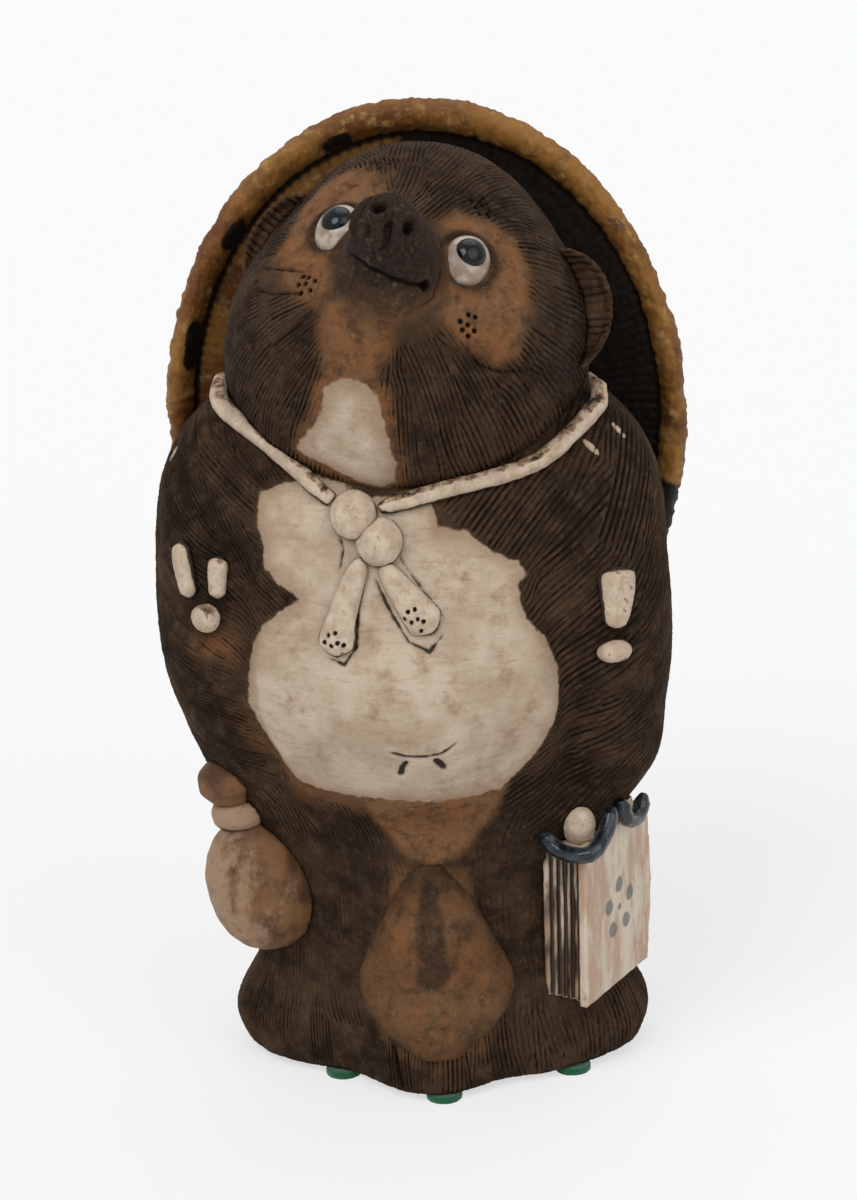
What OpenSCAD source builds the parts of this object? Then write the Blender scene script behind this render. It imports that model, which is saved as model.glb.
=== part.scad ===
/* [Clay] */
// Thickness of the pressed clay wall
wall = 8; // [6:0.5:9]
// Thickness of the slip between two joined pieces
slip = 0.2; // [0.1:0.05:0.4]
// Height of the felt pads under the rim
felt_h = 2; // [1:0.25:3]

/* [Trunk heights] */
// From the rim up to the instep
foot_h = 12; // [9:1:16]
// From the instep up to the ankles
ankle_h = 16; // [12:1:20]
// From the ankles up to the hips
leg_h = 32; // [26:1:38]
// From the hips up to the ends of the sleeves
hip_h = 38; // [32:1:44]
// From the ends of the sleeves up to the widest belly
belly_h = 30; // [24:1:36]
// From the widest belly up to the chest
chest_h = 32; // [26:1:38]
// From the chest up to the shoulders
shoulder_h = 28; // [24:1:34]
// From the shoulders up to the collar
collar_h = 20; // [17:1:24]
// From the collar up to the neck's end
neck_h = 10; // [8:1:12]

/* [Trunk widths] */
// Width across the rim
rim_w = 124; // [112:1:134]
// Width across the instep
foot_w = 130; // [116:1:140]
// Width across the ankles
ankle_w = 114; // [102:1:124]
// Width across the hips
hip_w = 104; // [94:1:116]
// Width across the ends of the sleeves
cuff_w = 138; // [128:1:146]
// Width across the widest belly and the forearms
belly_w = 154; // [142:1:162]
// Width across the upper arms
chest_w = 155; // [143:1:163]
// Width across the shoulders
shoulder_w = 149; // [138:1:158]
// Width across the collar
collar_w = 122; // [112:1:130]
// Width across the neck
neck_w = 76; // [66:1:84]

/* [Trunk depths] */
// Depth in front of the seam at the rim and feet
foot_front = 34; // [29:1:39]
// Depth in front of the seam at the hips
hip_front = 35; // [30:1:40]
// Depth in front of the seam at the belly
belly_front = 52; // [46:1:56]
// Depth in front of the seam at the shoulders
chest_front = 44; // [39:1:49]
// Depth in front of the seam at the collar
collar_front = 27; // [23:1:31]
// Depth behind the seam at the feet
foot_back = 42; // [36:1:48]
// Depth behind the seam at the hips
hip_back = 38; // [34:1:42]
// Depth behind the seam at the chest
chest_back = 38; // [34:1:42]
// Depth behind the seam at the collar
collar_back = 36; // [32:1:40]
// Sideways place of the feet
foot_shift = 3; // [0:0.5:5]
// Sideways lean from the feet to the chest
lean = 6; // [0:0.5:8]

/* [Head] */
// Width of the head
head_w = 112; // [104:1:120]
// Height of the head
head_h = 116; // [108:1:124]
// Depth of the head in front of its middle
head_front = 52; // [46:1:58]
// Depth of the head behind its middle
head_back = 58; // [52:1:64]
// Height of the middle of the head above the collar
head_rise = 21; // [17:1:25]
// Place of the middle of the head behind the seam
head_y = 5; // [2:0.5:8]
// How far the face looks up
face_up = 44; // [36:1:50]
// How far the face turns to its left
face_turn = 1; // [-3:1:5]
// How far the face leans to its left
face_lean = 17; // [10:1:22]
// Length of the snout in front of the face
snout_l = 24; // [18:1:28]
// How far the snout bends to its right
snout_bend = 1; // [-3:1:5]

/* [Hat] */
// Width of the hat
hat_w = 164; // [156:1:172]
// Height of the hat
hat_h = 198; // [190:1:206]
// Depth of the hat's cone behind its rim
hat_depth = 18; // [14:1:22]
// Thickness of the hat
hat_t = 6; // [5:0.5:8]
// Thickness of the hat's rolled rim
rim_t = 11; // [9:0.5:13]
// Place of the middle of the hat behind the seam
hat_y = 48; // [45:0.5:51]
// Height of the middle of the hat above the shoulders
hat_rise = 1; // [-3:1:5]
// How far the hat leans back
hat_lean = 8; // [5:0.5:11]
// How far the hat is turned to the left
hat_turn = -2; // [-5:0.5:1]

/* [Face] */
// Width of the nose
nose_w = 21; // [17:0.5:24]
// Height of the nose
nose_h = 18; // [14:0.5:21]
// Thickness of the nose
nose_t = 7; // [5:0.5:9]
// Width of the white of an eye
eye_w = 14; // [12:0.5:16]
// Height of the white of an eye
eye_h = 17; // [14:0.5:19]
// Thickness of the white of an eye
eye_t = 4.5; // [3.5:0.25:5.5]
// Turn of an eye from the middle of the face
eye_turn = 22; // [19:0.5:25]
// Rise of an eye above the snout's root
eye_rise = 2; // [-2:0.5:6]
// Diameter of a pupil
pupil_d = 8.5; // [7:0.25:10]
// Width of an ear
ear_w = 34; // [30:1:38]
// Height of an ear
ear_h = 40; // [36:1:44]
// Turn of an ear from the middle of the face
ear_turn = 72; // [66:1:78]
// Thickness of an ear
ear_t = 4; // [3:0.5:5]
// Depth to which the left ear's middle is sunk into the head
ear_inset = 9.4; // [6:1:12]
// How much deeper the right ear is sunk
ear_deeper = 8; // [5:1:9]

/* [Cords] */
// Diameter of the hat's cords
cord_d = 5.5; // [4.5:0.25:7]
// Diameter of each lobe of the knot
knot_d = 16; // [13:0.5:19]
// Height of each lobe of the knot
knot_t = 6; // [4.5:0.5:7.5]
// Width of the flared end of each tail of the cord
tail_w = 13; // [10:0.5:15]
// Thickness of the tails of the cord
tail_t = 3.2; // [2.5:0.1:4]
// Length of the cord's right tail
cord_tail_l = 29; // [24:1:33]

/* [Paws] */
// Width of one claw
claw_w = 6.5; // [5:0.5:8]
// Length of one claw
claw_l = 16; // [13:0.5:18]
// Width of the ball under the claws
thumb_w = 9; // [7:0.5:11]

/* [Flask] */
// Diameter of the flask
flask_d = 34; // [30:1:38]
// Height of the flask's body
flask_h = 42; // [38:1:46]
// Diameter of the flask's neck
flask_neck = 15; // [12:0.5:18]
// Height of the band round the neck
band_h = 8; // [6:0.5:10]
// Height of the stopper
stopper_h = 15; // [12:0.5:17]
// Angle of the flask round the trunk
flask_angle = 202; // [196:1:208]
// Distance of the flask's middle outside the trunk's skin
flask_out = 6; // [4:0.5:9]
// Depth of the flask's axis inside the skin at the ends of the sleeves
flask_in = 4; // [2:0.5:6]

/* [Ledger] */
// Thickness of the ledger
ledger_t = 15; // [12:0.5:18]
// Width of the ledger's cover
ledger_w = 41; // [36:1:45]
// Height of the ledger
ledger_h = 51; // [46:1:56]
// Thickness of the ledger's cover
cover_t = 2.5; // [2:0.25:3.5]
// Number of grooves between the leaves
leaf_grooves = 4; // [3:1:5]
// Width of a groove between the leaves
groove = 1.6; // [1.2:0.1:2]
// Thickness of the cord on top of the ledger
loop_d = 5; // [4:0.25:6]
// Angle of the ledger's near edge round the trunk
ledger_angle = 323; // [319:1:327]
// Distance of the ledger's near edge outside the trunk's skin, at its top
ledger_out = 9.6; // [8:0.2:11]
// Height of the ledger's lower edge
ledger_z = 28; // [25:1:31]
// How far the cover is turned away from the front
ledger_turn = 27; // [23:1:31]

/* [Pouch and tail] */
// Height of the pouch's lower end
pouch_z = 15; // [12:1:18]
// Height of the pouch
pouch_h = 62; // [56:1:68]
// Width of the pouch
pouch_w = 56; // [50:1:62]
// Thickness of the pouch
pouch_t = 4.5; // [3.5:0.5:6]
// Angle of the middle of the pouch
pouch_angle = 272; // [268:1:276]
// Height of the tail's lower end
tail_z = 14; // [11:1:17]
// Length of the tail
tail_h = 72; // [64:1:80]
// Width of the tail
tail_wide = 34; // [28:1:40]
// Thickness of the tail
tail_thick = 12; // [9:1:15]

/* [Feet] */
// Diameter of a felt pad
felt_d = 11; // [9:0.5:12]
// Distance of a pad's middle inside the rim's edge
felt_inset = 4.5; // [4:0.25:5.5]

/* [Hidden] */
// Place of the seam between the front and back halves in the finished figure
seam_y = -4.3;
fur_clay = "#43301f";
cream_slip = "#b5a08c";
flask_clay = "#8c6246";
ledger_slip = "#c3a994";

rim_z = felt_h;
foot_z = rim_z + foot_h;
ankle_z = foot_z + ankle_h;
hip_z = ankle_z + leg_h;
cuff_z = hip_z + hip_h;
belly_z = cuff_z + belly_h;
chest_z = belly_z + chest_h;
shoulder_z = chest_z + shoulder_h;
collar_z = shoulder_z + collar_h;
neck_z = collar_z + neck_h;
trunk_h = neck_z - rim_z;
neck_front = collar_front - 2;

// Height, half width, depth in front of and behind the seam, at each station of the trunk
stations = [
    [rim_z, rim_w / 2, foot_front, foot_back],
    [foot_z, foot_w / 2, foot_front, foot_back],
    [ankle_z, ankle_w / 2, hip_front, hip_back],
    [hip_z, hip_w / 2, hip_front, hip_back],
    [cuff_z, cuff_w / 2, (hip_front + belly_front) / 2, hip_back],
    [belly_z, belly_w / 2, belly_front, chest_back],
    [chest_z, chest_w / 2, belly_front, chest_back],
    [shoulder_z, shoulder_w / 2, chest_front, chest_back],
    [collar_z, collar_w / 2, collar_front, collar_back],
    [neck_z, neck_w / 2, neck_front, neck_w / 2],
];

// Swellings of the trunk: angle, height, spread round, then spread up and amount as shares of trunk_h
swellings = [
    [268, belly_z - belly_h * 0.13, 34, 0.147, 0.055],
    [268, cuff_z - hip_h * 0.37, 34, 0.041, -0.014],
    [267, hip_z - leg_h * 0.56, 26, 0.183, 0.05],
    [268, rim_z, 30, 0.1, 0.05],
    [224, rim_z + foot_h / 2, 14, 0.073, -0.009],
    [316, rim_z + foot_h / 2, 14, 0.073, 0.014],
    [205, belly_z + chest_h / 2, 13, 0.156, 0.023],
    [336, belly_z + chest_h / 4, 13, 0.156, 0.023],
    [348, cuff_z, 20, 0.064, 0.018],
];

// Creases between the belly and the arms: angle and height of the upper end, of the lower end, spread
creases = [
    [218, chest_z + shoulder_h * 0.36, 220, cuff_z + belly_h * 0.27, 6],
    [315, chest_z + shoulder_h * 0.14, 323, cuff_z, 6],
];
crease_depth = trunk_h * 0.023;
crease_fade = trunk_h * 0.037;

function slope(table, i, j, c) = (table[j][c] - table[i][c]) / (table[j][0] - table[i][0]);

// Smooth curve through column c of a table, at height z
function smooth_at(table, z, c) =
    let (last = len(table) - 1)
    let (below = [for (k = [0:last - 1]) if (table[k][0] <= z) k])
    let (i = len(below) == 0 ? 0 : below[len(below) - 1])
    let (h = table[i + 1][0] - table[i][0])
    let (s = min(1, max(0, (z - table[i][0]) / h)))
    let (m0 = slope(table, max(i - 1, 0), i + 1, c) * h)
    let (m1 = slope(table, i, min(i + 2, last), c) * h)
    (2 * s ^ 3 - 3 * s ^ 2 + 1) * table[i][c] + (s ^ 3 - 2 * s ^ 2 + s) * m0
    + (3 * s ^ 2 - 2 * s ^ 3) * table[i + 1][c] + (s ^ 3 - s ^ 2) * m1;

function sum(v) = [for (x = v) 1] * v;
function turn_between(a, b) = abs(((a - b + 540) % 360) - 180);

// Depth of the creases where the trunk's skin is crossed at angle a and height z
function crease_at(a, z) = sum([for (c = creases)
    let (t = min(1, max(0, (z - c[3]) / (c[1] - c[3]))))
    let (beyond = max(0, z - c[1], c[3] - z))
    crease_depth * exp(-(turn_between(a, c[2] + (c[0] - c[2]) * t) / c[4]) ^ 2
        - (beyond / crease_fade) ^ 2)]);

// Distance from the trunk's axis to its skin
squareness = 2.25;
function trunk_r(a, z) =
    let (w = smooth_at(stations, z, 1))
    let (d = smooth_at(stations, z, sin(a) < 0 ? 2 : 3))
    let (oval = (abs(cos(a) / w) ^ squareness + abs(sin(a) / d) ^ squareness) ^ (-1 / squareness))
    oval - crease_at(a, z) + trunk_h * sum([for (b = swellings)
        b[4] * exp(-(turn_between(a, b[0]) / b[2]) ^ 2 - ((z - b[1]) / (b[3] * trunk_h)) ^ 2)]);

function axis_x(z) = foot_shift - lean * min(1, (z - rim_z) / (chest_z - rim_z));
function trunk_point(a, z, lift = 0) =
    [axis_x(z) + (trunk_r(a, z) + lift) * cos(a), (trunk_r(a, z) + lift) * sin(a), z];
function unit(v) = v / norm(v);
function trunk_normal(a, z) = unit(cross(
    trunk_point(a + 2, z) - trunk_point(a - 2, z),
    trunk_point(a, z + 2) - trunk_point(a, z - 2)));

// Closed skin through rings of points, all rings of the same count
module loft(rings) {
    n = len(rings[0]);
    last = len(rings) - 1;
    sides = [for (i = [0:last - 1]) for (j = [0:n - 1])
        let (k = (j + 1) % n)
        each [[i * n + j, (i + 1) * n + k, i * n + k], [i * n + j, (i + 1) * n + j, (i + 1) * n + k]]];
    bottom = [for (j = [1:n - 2]) [0, j, j + 1]];
    top = [for (j = [1:n - 2]) [last * n, last * n + j + 1, last * n + j]];
    polyhedron([for (ring = rings) each ring], concat(bottom, sides, top));
}

trunk_sides = 52;
trunk_rings = 28;

module trunk(grow = 0) {
    loft([for (i = [0:trunk_rings])
        let (z = rim_z + (neck_z - rim_z) * i / trunk_rings)
        let (lift_z = i == 0 ? -grow : i == trunk_rings ? grow : 0)
        [for (j = [0:trunk_sides - 1])
            trunk_point(360 * j / trunk_sides, z, grow) + [0, 0, lift_z]]]);
}

// Inside of the trunk, kept a wall's thickness under the skin, also where the shoulders slope in
module hollow() {
    steps = 14;
    sides = 24;
    beyond = 1;
    loft([for (i = [0:steps])
        let (z = rim_z - beyond + (trunk_h + 2 * beyond) * i / steps)
        let (up = z + wall * max(0, min(1, (z - belly_z) / (shoulder_z - belly_z))))
        [for (j = [0:sides - 1])
            let (a = 360 * j / sides)
            let (r = trunk_r(a, min(neck_z, up)) - wall)
            [axis_x(z) + r * cos(a), r * sin(a), z]]]);
}

// Half of the space, in front of the seam for side -1 and behind it for side 1
module half_space(side) {
    size = 400;
    translate([-size / 2, side < 0 ? -size : 0, -10]) cube([size, size, size]);
}

// A hand-formed piece is kept as one skin, at its own size
module formed() resize([0, 0, 0]) children();

// Piece pressed onto the trunk, cut to its skin
module seated() {
    difference() {
        children();
        trunk(slip);
    }
}

// Place at angle a and height z of the trunk's skin, with z pointing out of it and y up along it
module on_trunk(a, z, lift = 0) {
    out = trunk_normal(a, z);
    side = unit(cross([0, 0, 1], out));
    up = cross(out, side);
    p = trunk_point(a, z, lift);
    multmatrix([
        [side.x, up.x, out.x, p.x],
        [side.y, up.y, out.y, p.y],
        [side.z, up.z, out.z, p.z],
        [0, 0, 0, 1],
    ]) children();
}

// Lump of clay on the trunk, with its half sizes
module lump(a, z, size, turn = 0, lift = 0) {
    on_trunk(a, z, lift) rotate([0, 0, turn]) scale(size) sphere(1, $fn = 14);
}

// Roll of clay along the trunk
// Rows: share of the length, angle, height, lift, half width, half height
module roll(rows, steps = 8, sides = 8) {
    path = [for (k = [0:steps])
        let (t = k / steps)
        trunk_point(smooth_at(rows, t, 1), smooth_at(rows, t, 2), smooth_at(rows, t, 3))];
    loft([for (k = [0:steps])
        let (t = k / steps)
        let (along = unit(path[min(k + 1, steps)] - path[max(k - 1, 0)]))
        let (side = unit(cross(trunk_normal(smooth_at(rows, t, 1), smooth_at(rows, t, 2)), along)))
        let (out = cross(along, side))
        let (end = 0.2 + 0.8 * sqrt(1 - abs(2 * t - 1) ^ 8))
        [for (j = [0:sides - 1])
            let (c = cos(360 * j / sides) * smooth_at(rows, t, 4))
            let (s = sin(360 * j / sides) * smooth_at(rows, t, 5))
            path[k] + (side * c + out * s) * end]]);
}

// Wide pad of clay round the trunk at one angle
// Rows: height, half width, thickness
module apron(angle, rows, steps = 10, sides = 16) {
    low = rows[0][0];
    high = rows[len(rows) - 1][0];
    loft([for (k = [0:steps])
        let (z = low + (high - low) * k / steps)
        let (spread = smooth_at(rows, z, 1) / trunk_r(angle, z) * 180 / PI)
        [for (j = [0:sides - 1])
            let (a = 360 * j / sides)
            trunk_point(angle - spread * cos(a), z, smooth_at(rows, z, 2) * sin(a))]]);
}

// Pieces are drawn about the seam, then set so that the figure's middle is at the origin
module placed() translate([0, seam_y, 0]) children();

module shell(side) {
    color(fur_clay) placed() formed() intersection() {
        difference() {
            trunk();
            hollow();
        }
        half_space(side);
    }
}

module body_front() shell(-1);
module body_back() shell(1);

// Felt discs under the rim, by the angle at which each one sits
felt_angles = [55, 125, 221, 272, 329];

module felt_pads() {
    for (a = felt_angles) {
        p = trunk_point(a, rim_z, -felt_inset);
        color("#1f6b3f") placed() translate([p.x, p.y, 0]) cylinder(h = felt_h, d = felt_d, $fn = 32);
    }
}

head_z = collar_z + head_rise;
head_place = [axis_x(chest_z), head_y, head_z];

module in_face() {
    translate(head_place) rotate([0, 0, face_turn]) rotate([-face_up, 0, 0]) rotate([0, face_lean, 0])
        children();
}

// Bumps of the head: turn to its left, rise, spread, amount
head_bumps = [
    [-snout_bend, -7, 11, snout_l],
    [1, -20, 16, head_w * 0.07],
    [-42, -30, 22, head_w * 0.027],
    [46, -20, 22, head_w * 0.027],
    [-66, 22, 26, -head_w * 0.0625],
    [64, 42, 24, -head_w * 0.036],
    [-88, -4, 18, -head_w * 0.036],
];

// Direction from the middle of the head
function face_dir(turn, rise) = [sin(turn) * cos(rise), -cos(turn) * cos(rise), sin(rise)];

// Distance from the middle of the head to its skin; a shrunk head keeps only the hollows
function head_r(d, grow = 0) =
    let (w = head_w / 2 + grow)
    let (h = head_h / 2 + grow)
    let (l = (d.y < 0 ? head_front : head_back) + grow)
    let (oval = 1 / sqrt((d.x / w) ^ 2 + (d.z / h) ^ 2 + (d.y / l) ^ 2))
    let (bumps = [for (b = head_bumps)
        b[3] * exp(-(acos(min(1, max(-1, d * face_dir(b[0], b[1])))) / b[2]) ^ 2)])
    oval + sum([for (b = bumps) b < 0 ? b : grow < 0 ? 0 : b]);

// Closed ball about the looking direction
module ball(rings, sides, grow = 0) {
    loft([for (i = [0:rings])
        let (t = i == 0 ? 1.5 : i == rings ? 178.5 : 180 * i / rings)
        [for (j = [0:sides - 1])
            let (a = 360 * j / sides)
            let (d = [sin(t) * cos(a), -cos(t), -sin(t) * sin(a)])
            d * head_r(d, grow)]]);
}

head_rings = 24;
head_sides = 34;

module head_skin(grow = 0) {
    in_face() ball(head_rings, head_sides, grow);
}

module head() {
    color(fur_clay) placed() formed() difference() {
        head_skin();
        in_face() ball(12, 18, -wall);
        trunk(slip);
        hat_body(slip, behind_hat);
    }
}

// Place on the head's skin, with -y pointing out of it
module on_head(turn, rise, lift = 0) {
    in_face() rotate([0, 0, turn]) rotate([-rise, 0, 0])
        translate([0, -head_r(face_dir(turn, rise)) - lift, 0]) children();
}

module nose() {
    color("#2b2321") placed() formed() difference() {
        on_head(-snout_bend, -5, -nose_t * 0.6) scale([nose_w / 2, nose_t, nose_h / 2]) sphere(1, $fn = 18);
        head_skin(slip);
    }
}

// White of an eye; side -1 is the right eye
module eyeball(side, grow = 0) {
    on_head(side * eye_turn, eye_rise, -eye_t / 3) rotate([0, side * 8, 0])
        scale([eye_w / 2 + grow, eye_t + grow, eye_h / 2 + grow]) sphere(1, $fn = 18);
}

module eye(side) {
    color("#cfc3b8") placed() formed() difference() {
        eyeball(side);
        head_skin(slip);
    }
}

module pupil(side) {
    color("#14161a") placed() formed() difference() {
        on_head(side * eye_turn, eye_rise + 1.5, eye_t * 0.13)
            scale([pupil_d / 2, eye_t * 0.8, pupil_d / 2]) sphere(1, $fn = 14);
        eyeball(side, slip);
    }
}

module eye_right() eye(-1);
module eye_left() eye(1);
module pupil_right() pupil(-1);
module pupil_left() pupil(1);

// Oval dish with a rolled rim, open towards -y
// grow lowers its face, extra thickens its back
module dish(width, height, depth, thick, roll, sides, grow = 0, extra = 0) {
    // share of the radius, distance behind the rim's plane
    rear = [[0.02, depth + thick], [0.3, depth * 0.8 + thick], [0.6, depth * 0.45 + thick],
        [0.88, depth * 0.1 + thick], [0.96, roll * 1.2], [1, roll * 0.8]];
    face = [[1, -roll * 0.2], [0.97, -roll], [0.93, -roll * 0.8], [0.88, depth * 0.1],
        [0.7, depth * 0.36], [0.35, depth * 0.72], [0.02, depth]];
    profile = concat([for (p = rear) [p[0], p[1] + extra]], [for (p = face) [p[0], p[1] - grow]]);
    rotate([90, 0, 0]) loft([for (p = profile)
        [for (j = [0:sides - 1])
            let (a = 360 * j / sides)
            [width / 2 * p[0] * cos(a), height / 2 * p[0] * sin(a), -p[1]]]]);
}

// Thickness that, added to the hat's back, reaches past everything behind it
behind_hat = head_back * 1.4;

module hat_body(grow = 0, extra = 0) {
    translate([0, hat_y, shoulder_z + hat_rise]) rotate([0, hat_turn, 0]) rotate([-hat_lean, 0, 0])
        dish(hat_w, hat_h, hat_depth, hat_t, rim_t / 2, 44, grow, extra);
}

module hat() {
    color("#8a6a3a") placed() formed() seated() hat_body();
}

// Ear on the side of the head; side -1 is the right ear
module ear(side, inset) {
    rise = 12;
    place = face_dir(side * ear_turn, rise) * (head_w / 2 - inset);
    color(fur_clay) placed() formed() difference() {
        in_face() translate(place) rotate([14, 0, side * 12])
            dish(ear_w, ear_h, ear_t, ear_t, ear_t * 0.6, 22);
        head_skin(slip);
        hat_body(slip, behind_hat);
        trunk(slip);
    }
}

module ear_right() ear(-1, ear_inset + ear_deeper);
module ear_left() ear(1, ear_inset);

// The two lobes of the knot, the second under the first
knot_angle = [252, 262];
knot_z = [shoulder_z - 1, shoulder_z - 8];

module knot_lobe(i, grow = 0) {
    lump(knot_angle[i], knot_z[i], [knot_d / 2 + grow, knot_d / 2 + grow, knot_t + grow]);
}

module knot_upper() {
    color(cream_slip) placed() formed() seated() knot_lobe(0);
}

module knot_lower() {
    color(cream_slip) placed() formed() seated() difference() {
        knot_lobe(1);
        knot_lobe(0, slip);
    }
}

module tied() {
    difference() {
        children();
        knot_lobe(0, slip);
        knot_lobe(1, slip);
        head_skin(slip);
        trunk(slip);
    }
}

cord_r = cord_d / 2;

// Rows as in roll(), without the half width and half height
module hat_cord(rows) {
    color(cream_slip) placed() formed() tied()
        roll([for (row = rows) concat(row, [cord_r, cord_r])], 14, 8);
}

module hat_cord_right() hat_cord([
    [0, 249, shoulder_z, 0],
    [0.25, 226, shoulder_z + collar_h * 0.52, cord_r * 0.3],
    [0.6, 199, collar_z + neck_h * 0.1, cord_r * 0.7],
    [0.85, 184, collar_z + neck_h * 0.6, cord_r * 2.9],
    [1, 176, collar_z + neck_h * 0.8, cord_r * 4.7],
]);

module hat_cord_left() hat_cord([
    [0, 257, shoulder_z, 0],
    [0.25, 285, shoulder_z + collar_h * 0.25, cord_r * 0.3],
    [0.55, 320, shoulder_z + collar_h * 0.5, cord_r * 0.3],
    [0.8, 344, collar_z, cord_r * 0.7],
    [1, 360, collar_z + neck_h * 0.8, cord_r * 4],
]);

// Tail of the cord that widens to its end; rows: share of the length, angle, height
module cord_tail(rows) {
    half_widths = [tail_w / 5, tail_w / 3, tail_w / 2];
    color(cream_slip) placed() formed() tied()
        roll([for (k = [0:2]) concat(rows[k], [0, half_widths[k], tail_t])]);
}

module cord_tail_right() cord_tail([
    [0, 257, shoulder_z - knot_d * 0.7],
    [0.5, 252, shoulder_z - knot_d * 0.7 - cord_tail_l * 0.55],
    [1, 250, shoulder_z - knot_d * 0.7 - cord_tail_l],
]);

module cord_tail_left() cord_tail([
    [0, 263, shoulder_z - knot_d * 0.87],
    [0.5, 270, shoulder_z - knot_d * 0.87 - cord_tail_l * 0.28],
    [1, 279, shoulder_z - knot_d * 0.87 - cord_tail_l * 0.66],
]);

module right_paw_claws() {
    slim = claw_w * 0.44;
    color(cream_slip) placed() formed() seated() {
        roll([
            [0, 205, chest_z + claw_l * 0.94, 0, claw_w / 2, claw_w / 2],
            [1, 210, chest_z - claw_l * 0.06, 0, slim, claw_w / 2],
        ]);
        roll([
            [0, 213.5, chest_z + claw_l * 0.75, 0, claw_w / 2, claw_w / 2],
            [1, 214.5, chest_z - claw_l * 0.03, 0, slim, claw_w / 2],
        ]);
    }
}

module right_paw_thumb() {
    color(cream_slip) placed() formed() seated()
        lump(213, chest_z - claw_l * 0.4, [thumb_w * 0.5, thumb_w * 0.5, thumb_w * 0.5]);
}

module left_paw_claws() {
    color(cream_slip) placed() formed() seated() roll([
        [0, 330, chest_z + claw_l * 0.44, 0, claw_w, claw_w / 2],
        [0.4, 329, chest_z, 0, claw_w * 0.9, claw_w / 2],
        [1, 327, chest_z - claw_l * 0.69, 0, claw_w * 0.5, claw_w / 2],
    ], 10, 10);
}

module left_paw_thumb() {
    color(cream_slip) placed() formed() seated()
        lump(326.5, chest_z - claw_l * 1.09, [thumb_w * 0.6, thumb_w * 0.4, thumb_w * 0.5]);
}

// The flask's pieces are stacked on one leaning axis, from the hips to the end of the sleeve
module in_flask() {
    foot = trunk_point(flask_angle, hip_z, flask_out);
    top = trunk_point(flask_angle - 2.5, cuff_z, -flask_in);
    along = unit(top - foot);
    round_z = atan2(along.y, along.x);
    translate(foot) rotate([0, acos(along.z), round_z]) rotate([0, 0, -round_z]) children();
}

module flask_body() {
    steps = 10;
    color(flask_clay) placed() formed() seated() in_flask() scale([1, 0.9, 1]) rotate_extrude($fn = 24)
        polygon(concat([[0, -flask_h / 2]],
            [for (k = [1:steps])
                let (t = 180 * k / steps)
                let (neck = flask_neck / 2 * (1 - cos(t)) / 2)
                [max(neck, flask_d / 2 * sin(t) ^ 0.8), -cos(t) * flask_h / 2]],
            [[0, flask_h / 2]]));
}

module flask_band() {
    r = flask_neck / 2;
    bulge = band_h * 0.19;
    color(cream_slip) placed() formed() seated() in_flask() translate([0, 0, flask_h / 2])
        rotate_extrude($fn = 20) polygon([[0, slip], [r, slip], [r + bulge, band_h * 0.3],
            [r + bulge, band_h * 0.7], [r, band_h], [0, band_h]]);
}

module flask_stopper() {
    r = flask_neck / 2;
    color(flask_clay) placed() formed() seated() in_flask() translate([0, 0, flask_h / 2 + band_h])
        rotate_extrude($fn = 20)
        polygon([[0, slip], [r * 0.87, slip], [r * 1.35, stopper_h * 0.35], [r * 1.27, stopper_h * 0.65],
            [r * 0.6, stopper_h * 0.92], [0, stopper_h]]);
}

// Half width of the lumps on the ledger
lump_r = ledger_t / 3;

// The ledger's near lower corner is its origin, x across its leaves and y back along its cover
module in_ledger() {
    place = trunk_point(ledger_angle, ledger_z + ledger_h + lump_r, ledger_out);
    translate([place.x, place.y, ledger_z]) rotate([0, 0, -ledger_turn]) children();
}

module ledger_leaves() {
    gap = (ledger_t - cover_t) / (leaf_grooves + 1);
    color(ledger_slip) placed() formed() seated() in_ledger() difference() {
        translate([-ledger_t, 0, 0]) cube([ledger_t - cover_t - slip, ledger_w, ledger_h]);
        for (k = [1:leaf_grooves])
            translate([-cover_t - gap * k, 0, ledger_h / 2]) rotate([0, 0, 45])
                cube([groove, groove, ledger_h + 2], center = true);
    }
}

// The cover stands out by a narrow edge, and its far side is curved
cover_edge = ledger_h * 0.02;
cover_bulge = ledger_w * 0.07;

module ledger_cover() {
    steps = 6;
    high = ledger_h + 2 * cover_edge;
    color(ledger_slip) placed() formed() seated() in_ledger()
        translate([-cover_t, -cover_edge, -cover_edge]) rotate([90, 0, 90])
        linear_extrude(cover_t) polygon(concat(
            [[0, 0]],
            [for (k = [0:steps]) [ledger_w + cover_bulge * sin(180 * k / steps), high * k / steps]],
            [[0, high]]));
}

// Space that the leaves and the cover take, with the slip round them
module ledger_room() {
    deep = ledger_w + cover_edge + cover_bulge;
    translate([-ledger_t, -cover_edge, -1]) cube([ledger_t + slip, deep, ledger_h + 1 + slip]);
    translate([-cover_t - slip, -cover_edge, -1])
        cube([cover_t + 2 * slip, deep, ledger_h + 1 + cover_edge + slip]);
}

// Two lumps of clay on the ledger, through which its cord runs
module knots(grow = 0) {
    more = [grow, grow, grow];
    translate([-lump_r, lump_r, ledger_h + lump_r])
        scale([lump_r, lump_r * 0.9, lump_r * 1.4] + more) sphere(1, $fn = 14);
    translate([-lump_r * 0.4, ledger_w * 0.63, ledger_h + lump_r * 0.8])
        scale([lump_r * 0.8, lump_r, lump_r * 1.2] + more) sphere(1, $fn = 14);
}

module ledger_knots() {
    color(cream_slip) placed() formed() seated() in_ledger() difference() {
        knots();
        ledger_room();
    }
}

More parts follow.
